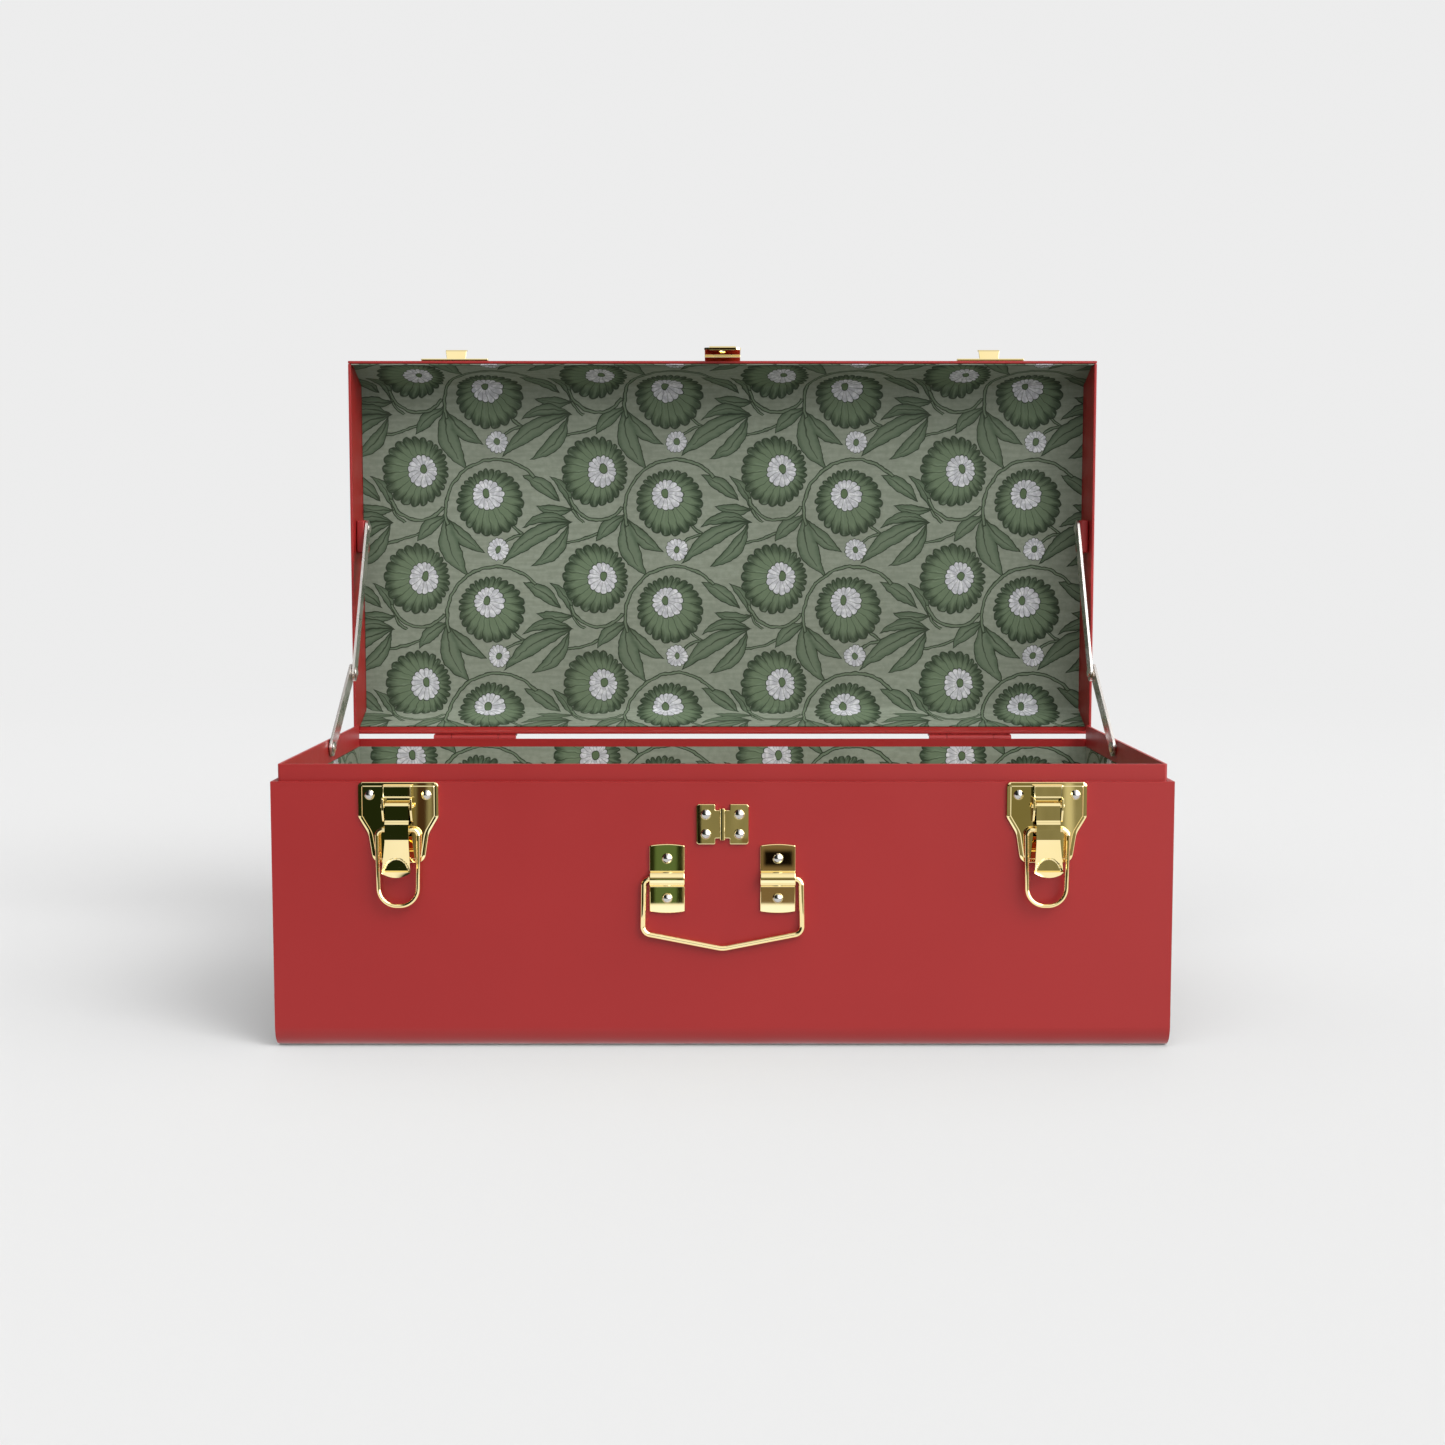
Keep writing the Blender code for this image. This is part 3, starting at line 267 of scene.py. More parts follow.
# Studio that the metal reflects. Its parts are placed by how far a direction points across,
# ahead and up; a pair of such shares is where one colour fades into the next
AMBIENT = grey(0.49)
DARK_WALL = (0.014, 0.022, 0.007, 1)
TAN_WALL = ((0.16, 0.150, 0.080, 1), (0.34, 0.330, 0.220, 1))
TAN_CLOUDS = (2.0, 1.0, 0.6)
TAN_FROM = (-0.10, -0.04)
CEILING = grey(1.05)
CEILING_FROM = (0.095, 0.112)
SIDES = grey(0.85)
SIDES_FROM = (-0.50, -0.30)
WINDOW = grey(5.5)
WINDOW_ACROSS = (0.22, 0.36)
WINDOW_UP = (-0.12, -0.02)
BEHIND = grey(0.75)
BEHIND_FROM = (0.0, 0.5)
SHADE = (0.03, 0.035, 0.03, 1)
SHADE_ACROSS = (-0.14, -0.30)
SHADE_UP = (-0.08, 0.04)
FLOOR = grey(1.0)
FLOOR_FROM = (-0.1760, -0.1772)
# Panels as low and high across, low and high up, soft edge, light. The clutter on the wall
CLUTTER = (
    (-0.1540, -0.1390, -0.20, 0.0, 0.0010, (0.060, 0.032, 0.016)),
    (-0.1520, -0.1505, -0.20, 0.0, 0.0010, (0.20, 0.18, 0.10)),
    (-0.1455, -0.1430, -0.20, 0.0, 0.0014, (0.30, 0.29, 0.19)),
    (-0.0400, -0.0160, -0.20, -0.1440, 0.0006, (0.020, 0.026, 0.008)),
    (-0.0336, -0.0226, -0.20, -0.1440, 0.0010, (0.105, 0.172, 0.070)),
    (-0.0196, -0.0160, -0.20, -0.1440, 0.0006, (0.38, 0.34, 0.22)),
    (-0.0145, -0.0108, -0.16, -0.1200, 0.0004, (0.010, 0.010, 0.004)),
    (0.0160, 0.0400, -0.20, -0.1440, 0.0010, (0.20, 0.145, 0.085)),
    (0.0205, 0.0350, -0.1572, -0.1500, 0.0014, (0.006, 0.004, 0.002)),
    (0.1380, 0.1530, -0.20, 0.0, 0.0010, (0.19, 0.175, 0.085)),
    (0.1680, 0.1720, -0.20, 0.0, 0.0016, (0.62, 0.60, 0.44)),
)
# What the hasp shows, and the brighter floor that the handle's brackets show
HASP_PANEL = (-0.04, 0.04, 0.06, 0.125, 0.004, (0.03, 0.02, 0.01))
BRIGHT_FLOOR = (-0.07, 0.07, -0.60, -0.1772, 0.0006, (1.15, 1.21, 1.39))

# Suns as name, direction, strength, spread in degrees, colour
SUNS = (
    ("key", (-0.58, 0.56, -0.60), 1.02, 30, (1.0, 1.0, 0.995)),
    ("fill", (0.0, 0.62, -0.78), 1.27, 70, (1.0, 1.0, 1.0)),
)

# Stage: a floor that rises far away, with a glow that fades in between two distances
STAGE_FLOOR = (0.80, 0.80, 0.80, 1)
STAGE_GLOW = (0.845, 0.845, 0.845, 1)
GLOW_FROM = (0.9, 2.6)
STAGE_RADII = (0.02, 1.0, 3.0, 6.0)
STAGE_BEND = 3.0
STAGE_TOP = 9.0

CAMERA_PLACE = (0, -1.1042, 0.2513)
CAMERA_PITCH = 5.0
LENS = 50
SENSOR = 36


# Outlines in two dimensions


def arc(centre, radius, start, end, steps):
    """Points on an arc, angles in degrees, both ends included."""
    points = []
    for i in range(steps + 1):
        angle = math.radians(start + (end - start) * i / steps)
        points.append((centre[0] + radius * math.cos(angle), centre[1] + radius * math.sin(angle)))
    return points


def circle(centre, radius, sides):
    """Points around a circle, the first one not repeated."""
    return arc(centre, radius, 0, 360 * (1 - 1 / sides), sides - 1)


def rectangle(low, high, inset, radius):
    """Counter-clockwise corners between two places, moved in and with one radius."""
    left, right = low[0] + inset, high[0] - inset
    foot, top = low[1] + inset, high[1] - inset
    return [(x, y, radius) for x, y in ((left, foot), (right, foot), (right, top), (left, top))]


def rounded(corners, closed=True, steps=8):
    """Replaces each corner (x, y, radius) by an arc that is tangent to both of its sides."""
    points = []
    count = len(corners)
    for i, (x, y, radius) in enumerate(corners):
        if radius == 0 or (not closed and i in (0, count - 1)):
            points.append((x, y))
            continue
        here = Vector((x, y))
        before = (Vector(corners[i - 1][:2]) - here).normalized()
        after = (Vector(corners[(i + 1) % count][:2]) - here).normalized()
        half = before.angle(after) / 2
        centre = here + (before + after).normalized() * radius / math.sin(half)
        first = here + before * radius / math.tan(half) - centre
        last = here + after * radius / math.tan(half) - centre
        turn = first.angle_signed(last)
        for step in range(steps + 1):
            spoke = first.copy()
            spoke.rotate(Matrix.Rotation(-turn * step / steps, 2))
            points.append(tuple(centre + spoke))
    return points


def inset_corners(corners, distance):
    """Corners of a counter-clockwise outline moved inwards, with the radii that keep it parallel."""
    smallest = 0.0003
    moved = []
    count = len(corners)
    for i, (x, y, radius) in enumerate(corners):
        here = Vector((x, y))
        before = (here - Vector(corners[i - 1][:2])).normalized()
        after = (Vector(corners[(i + 1) % count][:2]) - here).normalized()
        left = Vector((-before.y, before.x))
        inward = (left + Vector((-after.y, after.x))).normalized()
        reach = distance / inward.dot(left)
        convex = before.x * after.y - before.y * after.x > 0
        inner = max(radius - distance, smallest) if convex else radius + distance
        moved.append((*(here + inward * reach), inner))
    return moved


def shifted(path, distance):
    """The path moved sideways, positive to the right of its direction."""
    moved = []
    for i, point in enumerate(path):
        sides = []
        if i > 0:
            sides.append((point - path[i - 1]).normalized())
        if i < len(path) - 1:
            sides.append((path[i + 1] - point).normalized())
        normals = [Vector((side.y, -side.x)) for side in sides]
        mean = sum(normals, Vector((0, 0))).normalized()
        moved.append(point + mean * distance / mean.dot(normals[0]))
    return moved


def travelled(path):
    """Distance along the path at each of its points."""
    distances = [0.0]
    for first, second in zip(path, path[1:]):
        distances.append(distances[-1] + (second - first).length)
    return distances


def place_along(path, distance):
    """The point at a distance along the path."""
    distances = travelled(path)
    k = max(j for j in range(len(path) - 1) if distances[j] <= distance + 1e-12)
    share = (distance - distances[k]) / (distances[k + 1] - distances[k])
    return path[k].lerp(path[k + 1], min(share, 1))


def trimmed(path, start, end):
    """The path between two distances along it."""
    kept = [point for point, reach in zip(path, travelled(path)) if start < reach < end]
    return [place_along(path, start), *kept, place_along(path, end)]


def resampled(path, count):
    """Points spaced evenly along a path."""
    length = travelled(path)[-1]
    return [place_along(path, length * i / (count - 1)) for i in range(count)]


def clamped(value):
    """Kept between 0 and 1."""
    return max(0.0, min(1.0, value))


# Meshes


class Solid:
    """Collects vertices and faces of closed shapes, and the print's coordinates where it has any."""

    def __init__(self):
        self.verts = []
        self.faces = []
        self.coords = []

    def loft(self, rings, cap=True, closed=False):
        """Skin over rings of equal count; closed joins the last ring to the first."""
        start = len(self.verts)
        count = len(rings[0])
        for ring in rings:
            self.verts += [Vector(point) for point in ring]
        last = len(rings) if closed else len(rings) - 1
        for i in range(last):
            near = start + i * count
            far = start + (i + 1) % len(rings) * count
            for j in range(count):
                k = (j + 1) % count
                self.faces.append((near + j, near + k, far + k, far + j))
        if cap and not closed:
            self.faces.append(tuple(start + j for j in range(count)))
            end = start + (len(rings) - 1) * count
            self.faces.append(tuple(end + j for j in reversed(range(count))))
        return self

    def mesh(self, name):
        """The shape as mesh data."""
        mesh = bpy.data.meshes.new(name)
        mesh.from_pydata([tuple(v) for v in self.verts], [], self.faces)
        return mesh

    def sheet(self, front, back):
        """Skin over two matching grids of points: a sheet's front and its back."""
        start = len(self.verts)
        rows, width = len(front), len(front[0])
        behind = rows * width
        for row in front + back:
            self.verts += row
        for i in range(rows - 1):
            for j in range(width - 1):
                a = start + i * width + j
                b = a + width
                self.faces.append((a, a + 1, b + 1, b))
                self.faces.append((behind + a + 1, behind + a, behind + b, behind + b + 1))
            for a in (start + i * width, start + (i + 1) * width - 1):
                b = a + width
                self.faces.append((a, b, behind + b, behind + a))
        for i in (0, rows - 1):
            for j in range(width - 1):
                a = start + i * width + j
                self.faces.append((a, behind + a, behind + a + 1, a + 1))
        return self

    def plate(self, corners, levels, steps=8):
        """Plate along Y whose outline is inset by each level's (inset, y) in turn."""
        rings = []
        for inset, y in levels:
            outline = rounded(inset_corners(corners, inset) if inset else corners, steps=steps)
            rings.append([(px, y, pz) for px, pz in outline])
        return self.loft(rings)

    def bar(self, outline, low, high):
        """An outline in (y, z) extruded along X."""
        return self.loft([[(x, y, z) for y, z in outline] for x in (low, high)])

    def tube(self, points, radius, closed=False, sides=20):
        """Round wire along points that lie in a plane of constant y."""
        rings = []
        count = len(points)
        out = Vector((0, 1, 0))
        for i, point in enumerate(points):
            point = Vector(point)
            before = Vector(points[i - 1] if closed or i else points[0])
            after = Vector(points[(i + 1) % count] if closed or i < count - 1 else points[-1])
            along = (after - before).normalized()
            side = along.cross(out)
            ring = []
            for j in range(sides):
                angle = 2 * math.pi * j / sides
                ring.append(point + radius * (math.cos(angle) * side + math.sin(angle) * out))
            rings.append(ring)
        return self.loft(rings, closed=closed)

    def turned(self, profile, place, direction, sides=32):
        """A profile of (radius, height) turned about an axis through a place."""
        turn = Vector((0, 0, 1)).rotation_difference(Vector(direction)).to_matrix()
        rings = []
        for radius, height in profile:
            ring = circle((0, 0), radius, sides)
            rings.append([Vector(place) + turn @ Vector((x, y, height)) for x, y in ring])
        return self.loft(rings)


def placed(name, data):
    """A new object in the scene that holds a mesh, a light or a camera."""
    obj = bpy.data.objects.new(name, data)
    bpy.context.scene.collection.objects.link(obj)
    return obj


def piece(name, solid, body, slot, sharp, stands_for=(), material=None):
    """A mesh object that rides on a body, takes its finish from a slot and may replace CAD nodes."""
    mesh = solid.mesh(name)
    mesh.validate()
    if solid.coords:
        layer = mesh.uv_layers.new(name="print")
        for loop in mesh.loops:
            layer.data[loop.index].uv = solid.coords[loop.vertex_index]
    obj = placed(name, mesh)
    shape = bmesh.new()
    shape.from_mesh(mesh)
    bmesh.ops.recalc_face_normals(shape, faces=shape.faces)
    shape.to_mesh(mesh)
    shape.free()
    mesh.shade_smooth()
    mesh.set_sharp_from_angle(angle=math.radians(sharp))
    mesh.materials.append(material or FINISH[slot])
    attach(obj, body)
    if stands_for:
        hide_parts(*stands_for)
    return obj


def soften(obj, width, segments, angle):
    """Rolled edges on every corner sharper than the angle."""
    modifier = obj.modifiers.new("edges", "BEVEL")
    modifier.width = width
    modifier.segments = segments
    modifier.limit_method = "ANGLE"
    modifier.angle_limit = math.radians(angle)
    modifier.harden_normals = False
    obj.modifiers.new("normals", "WEIGHTED_NORMAL").keep_sharp = True
    return obj


# Shader nodes


class Nodes:
    """Writes a node tree. Numbers and sockets mix freely as inputs."""

    def __init__(self, tree):
        self.tree = tree

    def new(self, kind, inputs=(), output=0, **settings):
        """Adds a node and gives back one of its outputs."""
        node = self.tree.nodes.new(kind)
        for key, value in settings.items():
            setattr(node, key, value)
        for key, value in dict(inputs).items():
            self.put(node.inputs[key], value)
        return node.outputs[output]

    def put(self, socket, value):
        if isinstance(value, bpy.types.NodeSocket):
            self.tree.links.new(value, socket)
        else:
            socket.default_value = value

    def math(self, operation, *values):
        return self.new("ShaderNodeMath", enumerate(values), operation=operation)

    def vector(self, operation, *values):
        output = "Value" if operation in ("DOT_PRODUCT", "LENGTH") else "Vector"
        return self.new("ShaderNodeVectorMath", enumerate(values), output, operation=operation)

    def mix(self, share, first, second, blend="MIX"):
        """Colour mix; the sockets 6 and 7 are the colours, and output 2 is the colour result."""
        inputs = {0: share, 6: first, 7: second}
        return self.new("ShaderNodeMix", inputs, 2, data_type="RGBA", blend_type=blend)

    def ramp(self, value, low, high, start=0.0, end=1.0, smooth=True):
        """From start to end as the value goes from low to high."""
        inputs = {"Value": value, "From Min": low, "From Max": high, "To Min": start, "To Max": end}
        kind = "SMOOTHSTEP" if smooth else "LINEAR"
        return self.new("ShaderNodeMapRange", inputs, interpolation_type=kind)

    def noise(self, place, scale, detail=2.0, roughness=0.5, output="Fac"):
        inputs = {"Vector": place, "Scale": scale, "Detail": detail, "Roughness": roughness}
        return self.new("ShaderNodeTexNoise", inputs, output)

    def place(self):
        """Position in the object's own coordinates, so that a pattern moves with its piece."""
        return self.new("ShaderNodeTexCoord", output="Object")


class MaterialNodes(Nodes):
    """Node tree of a new material."""

    def __init__(self, name):
        self.material = bpy.data.materials.new(name)
        self.material.use_nodes = True
        super().__init__(self.material.node_tree)
        self.shader = self.tree.nodes["Principled BSDF"]
        self.output = self.tree.nodes["Material Output"]

    def bump(self, height, strength, distance):
        inputs = {"Strength": strength, "Distance": distance, "Height": height}
        self.put(self.shader.inputs["Normal"], self.new("ShaderNodeBump", inputs))

    def set(self, **values):
        """Sets the shader's sockets, with _ for a space in a name, and gives back the material."""
        for key, value in values.items():
            self.put(self.shader.inputs[key.replace("_", " ")], value)
        return self.material


# Materials


def red_paint():
    """Satin powder coat: fine orange peel, faint cloudiness and a few duller patches."""
    nodes = MaterialNodes("red_paint")
    place = nodes.place()
    cloud = nodes.noise(place, 9.0, 3.0)
    colour = nodes.mix(cloud, tone(152, 29, 29), tone(158, 32, 31))
    smear = nodes.noise(place, 34.0, 4.0, 0.6)
    peel = nodes.noise(place, 900.0, 2.0, 0.55)
    nodes.bump(peel, 0.10, 0.00025)
    rough = nodes.ramp(smear, 0.3, 0.7, 0.38, 0.46, smooth=False)
    bounced = nodes.new("ShaderNodeLightPath", output="Is Diffuse Ray")
    colour = nodes.mix(bounced, colour, BOUNCE)
    return nodes.set(Base_Color=colour, Roughness=rough, Specular_IOR_Level=0.5)


def metal(name, colours, clouds, marks, stretch, depth, low, high):
    """Bright metal: slight cloudiness in colour and roughness, and hairline polishing marks."""
    nodes = MaterialNodes(name)
    place = nodes.place()
    cloud = nodes.noise(place, clouds, 3.0)
    colour = nodes.mix(cloud, *colours)
    lines = nodes.noise(nodes.vector("MULTIPLY", place, stretch), marks, 2.0)
    nodes.bump(lines, depth, 0.00002)
    rough = nodes.ramp(cloud, 0.3, 0.7, low, high, smooth=False)
    return nodes.set(Base_Color=colour, Roughness=rough, Metallic=1.0)


def wood():
    """Pale beech ply: the grain runs along each board, with fine pores."""
    nodes = MaterialNodes("tray_wood")
    place = nodes.place()
    facing = nodes.vector("ABSOLUTE", nodes.new("ShaderNodeTexCoord", output="Normal"))
    across = nodes.new("ShaderNodeSeparateXYZ", {0: facing})
    spot = nodes.new("ShaderNodeSeparateXYZ", {0: place})
    y, z = spot.node.outputs[1], spot.node.outputs[2]
    long_board = nodes.new("ShaderNodeCombineXYZ", {0: spot, 1: nodes.math("ADD", y, z)})
    short_board = nodes.new("ShaderNodeCombineXYZ", {0: y, 1: z, 2: 1.0})
    turned = nodes.ramp(across, 0.4, 0.6)
    board = nodes.mix(turned, long_board, short_board)
    grain = nodes.noise(nodes.vector("MULTIPLY", board, (7.0, 150.0, 1.0)), 1.0, 4.0, 0.55)
    colour = nodes.mix(nodes.ramp(grain, 0.35, 0.65), tone(208, 176, 132), tone(186, 149, 104))
    pores = nodes.noise(nodes.vector("MULTIPLY", board, (90.0, 1400.0, 1.0)), 1.0, 2.0)
    colour = nodes.mix(nodes.ramp(pores, 0.62, 0.74, 0.0, 0.35), colour, tone(132, 96, 62))
    nodes.bump(pores, 0.25, 0.0002)
    return nodes.set(Base_Color=colour, Roughness=0.55, Specular_IOR_Level=0.4)


def felt():
    """Sage wool felt: matted fibres, mottled and matt."""
    nodes = MaterialNodes("felt")
    place = nodes.place()
    fibres = nodes.noise(place, 1800.0, 4.0, 0.7)
    mottle = nodes.noise(place, 120.0, 3.0)
    colour = nodes.mix(mottle, tone(92, 108, 86), tone(112, 128, 104))
    colour = nodes.mix(nodes.ramp(fibres, 0.3, 0.7, 0.0, 0.4), colour, tone(70, 84, 66))
    nodes.bump(fibres, 0.6, 0.0004)
    return nodes.set(Base_Color=colour, Roughness=0.95, Specular_IOR_Level=0.2)


class Print(MaterialNodes):
    """Builds the lining's repeat, element by element, over the ground colour."""

    def __init__(self, name):
        super().__init__(name)
        coords = self.new("ShaderNodeUVMap", uv_map="print")
        millimetres = self.vector("MULTIPLY", coords, (1000.0, 1000.0, 0.0))
        wobble = self.noise(millimetres, 0.16, 2.0, output="Color")
        wobble = self.vector("SUBTRACT", wobble, (0.5, 0.5, 0.5))
        wobble = self.vector("MULTIPLY", wobble, (WOBBLE, WOBBLE, 0.0))
        origin = self.vector("SUBTRACT", millimetres, (*REPEAT_ORIGIN, 0.0))
        self.spot = self.vector("ADD", origin, wobble)
        brush = self.vector("MULTIPLY", millimetres, (0.05, 0.45, 0.0))
        self.streaks = self.noise(brush, 1.0, 3.0)
        self.mottle = self.noise(millimetres, 0.32, 4.0, 0.6)
        shade = self.math("MULTIPLY", self.streaks, self.mottle)
        self.colour = self.mix(self.ramp(shade, 0.12, 0.38), GROUND_SHADE, GROUND)

    def away(self, centre):
        """Offset from the nearest repeat of a centre."""
        offset = self.vector("SUBTRACT", self.spot, (*centre, 0.0))
        half = (REPEAT[0] / 2, REPEAT[1] / 2, 1.0)
        return self.vector("WRAP", offset, half, tuple(-h for h in half))

    def over(self, mask, colour):
        """Prints a colour over what is there."""
        self.colour = self.mix(mask, self.colour, colour)

    def petals(self, offset, count, depth):
        """The petals' wave around the middle, how far their scalloped edge falls in, and the angle."""
        across = self.new("ShaderNodeSeparateXYZ", {0: offset})
        up = across.node.outputs[1]
        angle = self.math("ARCTAN2", up, across)
        wave = self.math("ABSOLUTE", self.math("COSINE", self.math("MULTIPLY", angle, count / 2)))
        lobe = self.math("SQRT", wave)
        fall = self.math("MULTIPLY", self.math("SUBTRACT", 1.0, lobe), depth)
        return wave, fall, angle

    def ellipse(self, offset, radii):
        """Distance from the middle, as a share of the radii."""
        return self.vector("LENGTH", self.vector("DIVIDE", offset, (*radii, 1.0)))

    def bloom(self, centre, radii, white, white_radii, eye):
        """Round bloom of scalloped petals, darker towards their tips, with a white middle."""
        wave, fall, angle = self.petals(self.away(eye), PETALS, PETAL_DEPTH)
        reach = self.math("ADD", self.ellipse(self.away(centre), radii), fall)
        self.over(self.ramp(reach, 1.02, 0.99), INK)
        rays = self.new("ShaderNodeCombineXYZ", {0: self.math("MULTIPLY", angle, 7.0), 1: reach})
        streak = self.noise(rays, 1.3, 3.0, 0.6)
        tip = self.math("MULTIPLY_ADD", streak, 0.62, reach)
        fill = self.mix(self.ramp(tip, 0.92, 1.26), PETAL, PETAL_TIP)
        fill = self.mix(self.ramp(streak, 0.52, 0.68, 0.0, 0.55), fill, PETAL_GLOW)
        fill = self.mix(self.ramp(wave, 0.26, 0.04, 0.0, 0.75), fill, INK)
        fill = self.mix(self.ramp(wave, 0.75, 1.0, 0.0, 0.22), fill, LEAF)
        self.over(self.ramp(reach, 0.985, 0.955), fill)
        self.daisy(white, white_radii, eye, WHITE_PETALS[0], BLOOM_EYE)

    def daisy(self, centre, radii, eye, count, eye_radii):
        """White petals around a green eye."""
        wave, fall, _ = self.petals(self.away(eye), count, WHITE_PETAL_DEPTH)
        reach = self.math("ADD", self.ellipse(self.away(centre), radii), fall)
        self.over(self.ramp(reach, 1.06, 1.01), INK)
        fill = self.mix(self.ramp(self.mottle, 0.35, 0.6), WHITE, WHITE_SHADE)
        fill = self.mix(self.ramp(wave, 0.30, 0.05, 0.0, 0.8), fill, LEAF_SHADE)
        self.over(self.ramp(reach, 1.0, 0.96), fill)
        pupil = self.ellipse(self.away(eye), eye_radii)
        self.over(self.ramp(pupil, 1.10, 0.98), INK)
        self.over(self.ramp(pupil, 0.96, 0.76), EYE)

    def ribbon(self, distance, half_width):
        """A stem: a filled band between two inked edges."""
        self.over(self.ramp(distance, half_width + 0.35, half_width + 0.05), INK)
        self.over(self.ramp(distance, half_width - 0.25, half_width - 0.55), LEAF)

    def ring(self, centre, radius, first, last):
        """Stem along an arc, cut off at its end angles."""
        offset = self.away(centre)
        from_arc = self.math("SUBTRACT", self.vector("LENGTH", offset), radius)
        distance = self.math("ABSOLUTE", from_arc)
        middle = math.radians((first + last) / 2)
        reach = radius * math.cos(math.radians(last - first) / 2)
        facing = self.vector("DOT_PRODUCT", offset, (math.cos(middle), math.sin(middle), 0.0))
        beyond = self.math("SUBTRACT", reach, facing)
        self.ribbon(self.math("MAXIMUM", distance, beyond), RING_HALF_WIDTH)

    def along(self, start, end, bend):
        """Share of the way from start to end, distance from the bent line, and the bend's arch."""
        start, end = Vector(start), Vector(end)
        line = end - start
        unit = line.normalized()
        offset = self.away((start + end) / 2)
        forward = self.vector("DOT_PRODUCT", offset, (unit.x, unit.y, 0.0))
        sideways = self.vector("DOT_PRODUCT", offset, (-unit.y, unit.x, 0.0))
        margin = 0.06
        half = line.length * (0.5 + margin)
        share = self.ramp(forward, -half, half, -margin, 1 + margin, smooth=False)
        arch = self.math("MULTIPLY", share, self.math("SUBTRACT", 1.0, share))
        sideways = self.math("MULTIPLY_ADD", arch, -4.0 * bend, sideways)
        return share, self.math("ABSOLUTE", sideways), arch

    def stem(self, start, end, bend):
        """Stem along a bent line, cut off at its ends."""
        _, distance, arch = self.along(start, end, bend)
        ends = self.ramp(arch, 0.004, 0.0, 0.0, 5.0, smooth=False)
        self.ribbon(self.math("ADD", distance, ends), STEM_HALF_WIDTH)

    def spray(self, leaves):
        """Leaves that flow into each other, under one inked outline, with ribs."""
        outline = None
        ribs = None
        for start, end, width, bend in leaves:
            share, distance, _ = self.along(start, end, bend)
            swell = self.math("SINE", self.math("MULTIPLY", share, math.pi))
            edge = self.math("MULTIPLY_ADD", swell, -width, distance)
            taper = self.math("MULTIPLY_ADD", share, 0.45, distance)
            short = self.ramp(share, 0.80, 0.92, 0.0, 3.0)
            rib = self.math("ADD", taper, short)
            outline = edge if outline is None else self.math("SMOOTH_MIN", outline, edge, 0.8)
            ribs = rib if ribs is None else self.math("MINIMUM", ribs, rib)
        self.over(self.ramp(outline, 0.25, -0.05), INK)
        grain = self.math("MULTIPLY_ADD", self.streaks, -2.6, outline)
        fill = self.mix(self.ramp(grain, -4.6, -1.4), LEAF, LEAF_SHADE)
        fill = self.mix(self.ramp(ribs, 0.75, 0.35, 0.0, 0.85), fill, INK)
        self.over(self.ramp(outline, -0.35, -0.65), fill)


def printed_lining():
    """Sage paper-backed cloth with the printed repeat, faint slubs and a fine weave."""
    design = Print("printed_lining")
    for stem in STEMS:
        design.stem(*stem)
    for spray in SPRAYS:
        design.spray(spray)
    for ring in ARCS:
        design.ring(*ring)
    for bloom in BLOOMS:
        design.bloom(*bloom)
    centre, radius = DAISY
    design.daisy(centre, (radius, radius), centre, WHITE_PETALS[1], DAISY_EYE)
    place = design.place()
    weave = design.noise(place, 1500.0, 2.0, 0.6)
    cloudy = design.ramp(design.noise(place, 14.0, 3.0), 0.3, 0.7, 0.04, 0.20)
    colour = design.mix(cloudy, design.colour, tone(70, 72, 60))
    design.bump(weave, 0.12, 0.00018)
    return design.set(Base_Color=colour, Roughness=0.72, Specular_IOR_Level=0.28)


FINISH = {
    "red_paint": red_paint(),
    "brass": metal("polished_brass", BRASS, 60.0, 2600.0, (1.0, 1.0, 0.12), 0.006, 0.004, 0.016),
    "nickel_screws": metal("nickel", NICKEL, 90.0, 2200.0, (1.0, 0.15, 1.0), 0.05, 0.03, 0.08),
    "stay_steel": metal("stay_steel", STEEL, 90.0, 2200.0, (1.0, 0.15, 1.0), 0.05, 0.22, 0.34),
    "lining": printed_lining(),
    "tray_wood": wood(),
}
FELT = felt()


def dressed():
    """Puts each CAD node that stays into its finish, with rolled edges and smooth faces."""
    slots = {part["node"]: part["material_slot"] for part in frame["record"]["subparts"]}
    for name, node in frame["nodes"].items():
        node.data.materials.clear()
        node.data.materials.append(FINISH[slots[name]])
        if node.hide_render:
            continue
        for polygon in node.data.polygons:
            polygon.use_smooth = True
        weld = node.modifiers.new("weld", "WELD")
        weld.merge_threshold = WELD_DISTANCE
        flat = node.modifiers.new("flat", "DECIMATE")
        flat.decimate_type = "DISSOLVE"
        flat.angle_limit = FLAT_ANGLE
        soften(node, *CAD_ROLL)


# Linings


def lid_path():
    """Outer face of the open lid's sheet as (y, z), from the back rim to the front rim."""
    top = LID_FOOT + LID_HEIGHT
    bend = LID_FOOT + LID_RIM
    corners = [
        (BACK, LID_FOOT, 0),
        (BACK, bend, LID_BEND_RADIUS),
        (BACK - LID_INSET, top, LID_TOP_RADIUS),
        (FRONT + LID_INSET, top, LID_TOP_RADIUS),
        (FRONT, bend, LID_BEND_RADIUS),
        (FRONT, LID_FOOT, 0),
    ]
    closed = rounded(corners, closed=False)
    return [Vector((HINGE.y + z - HINGE.z, HINGE.z - (y - HINGE.y))) for y, z in closed]


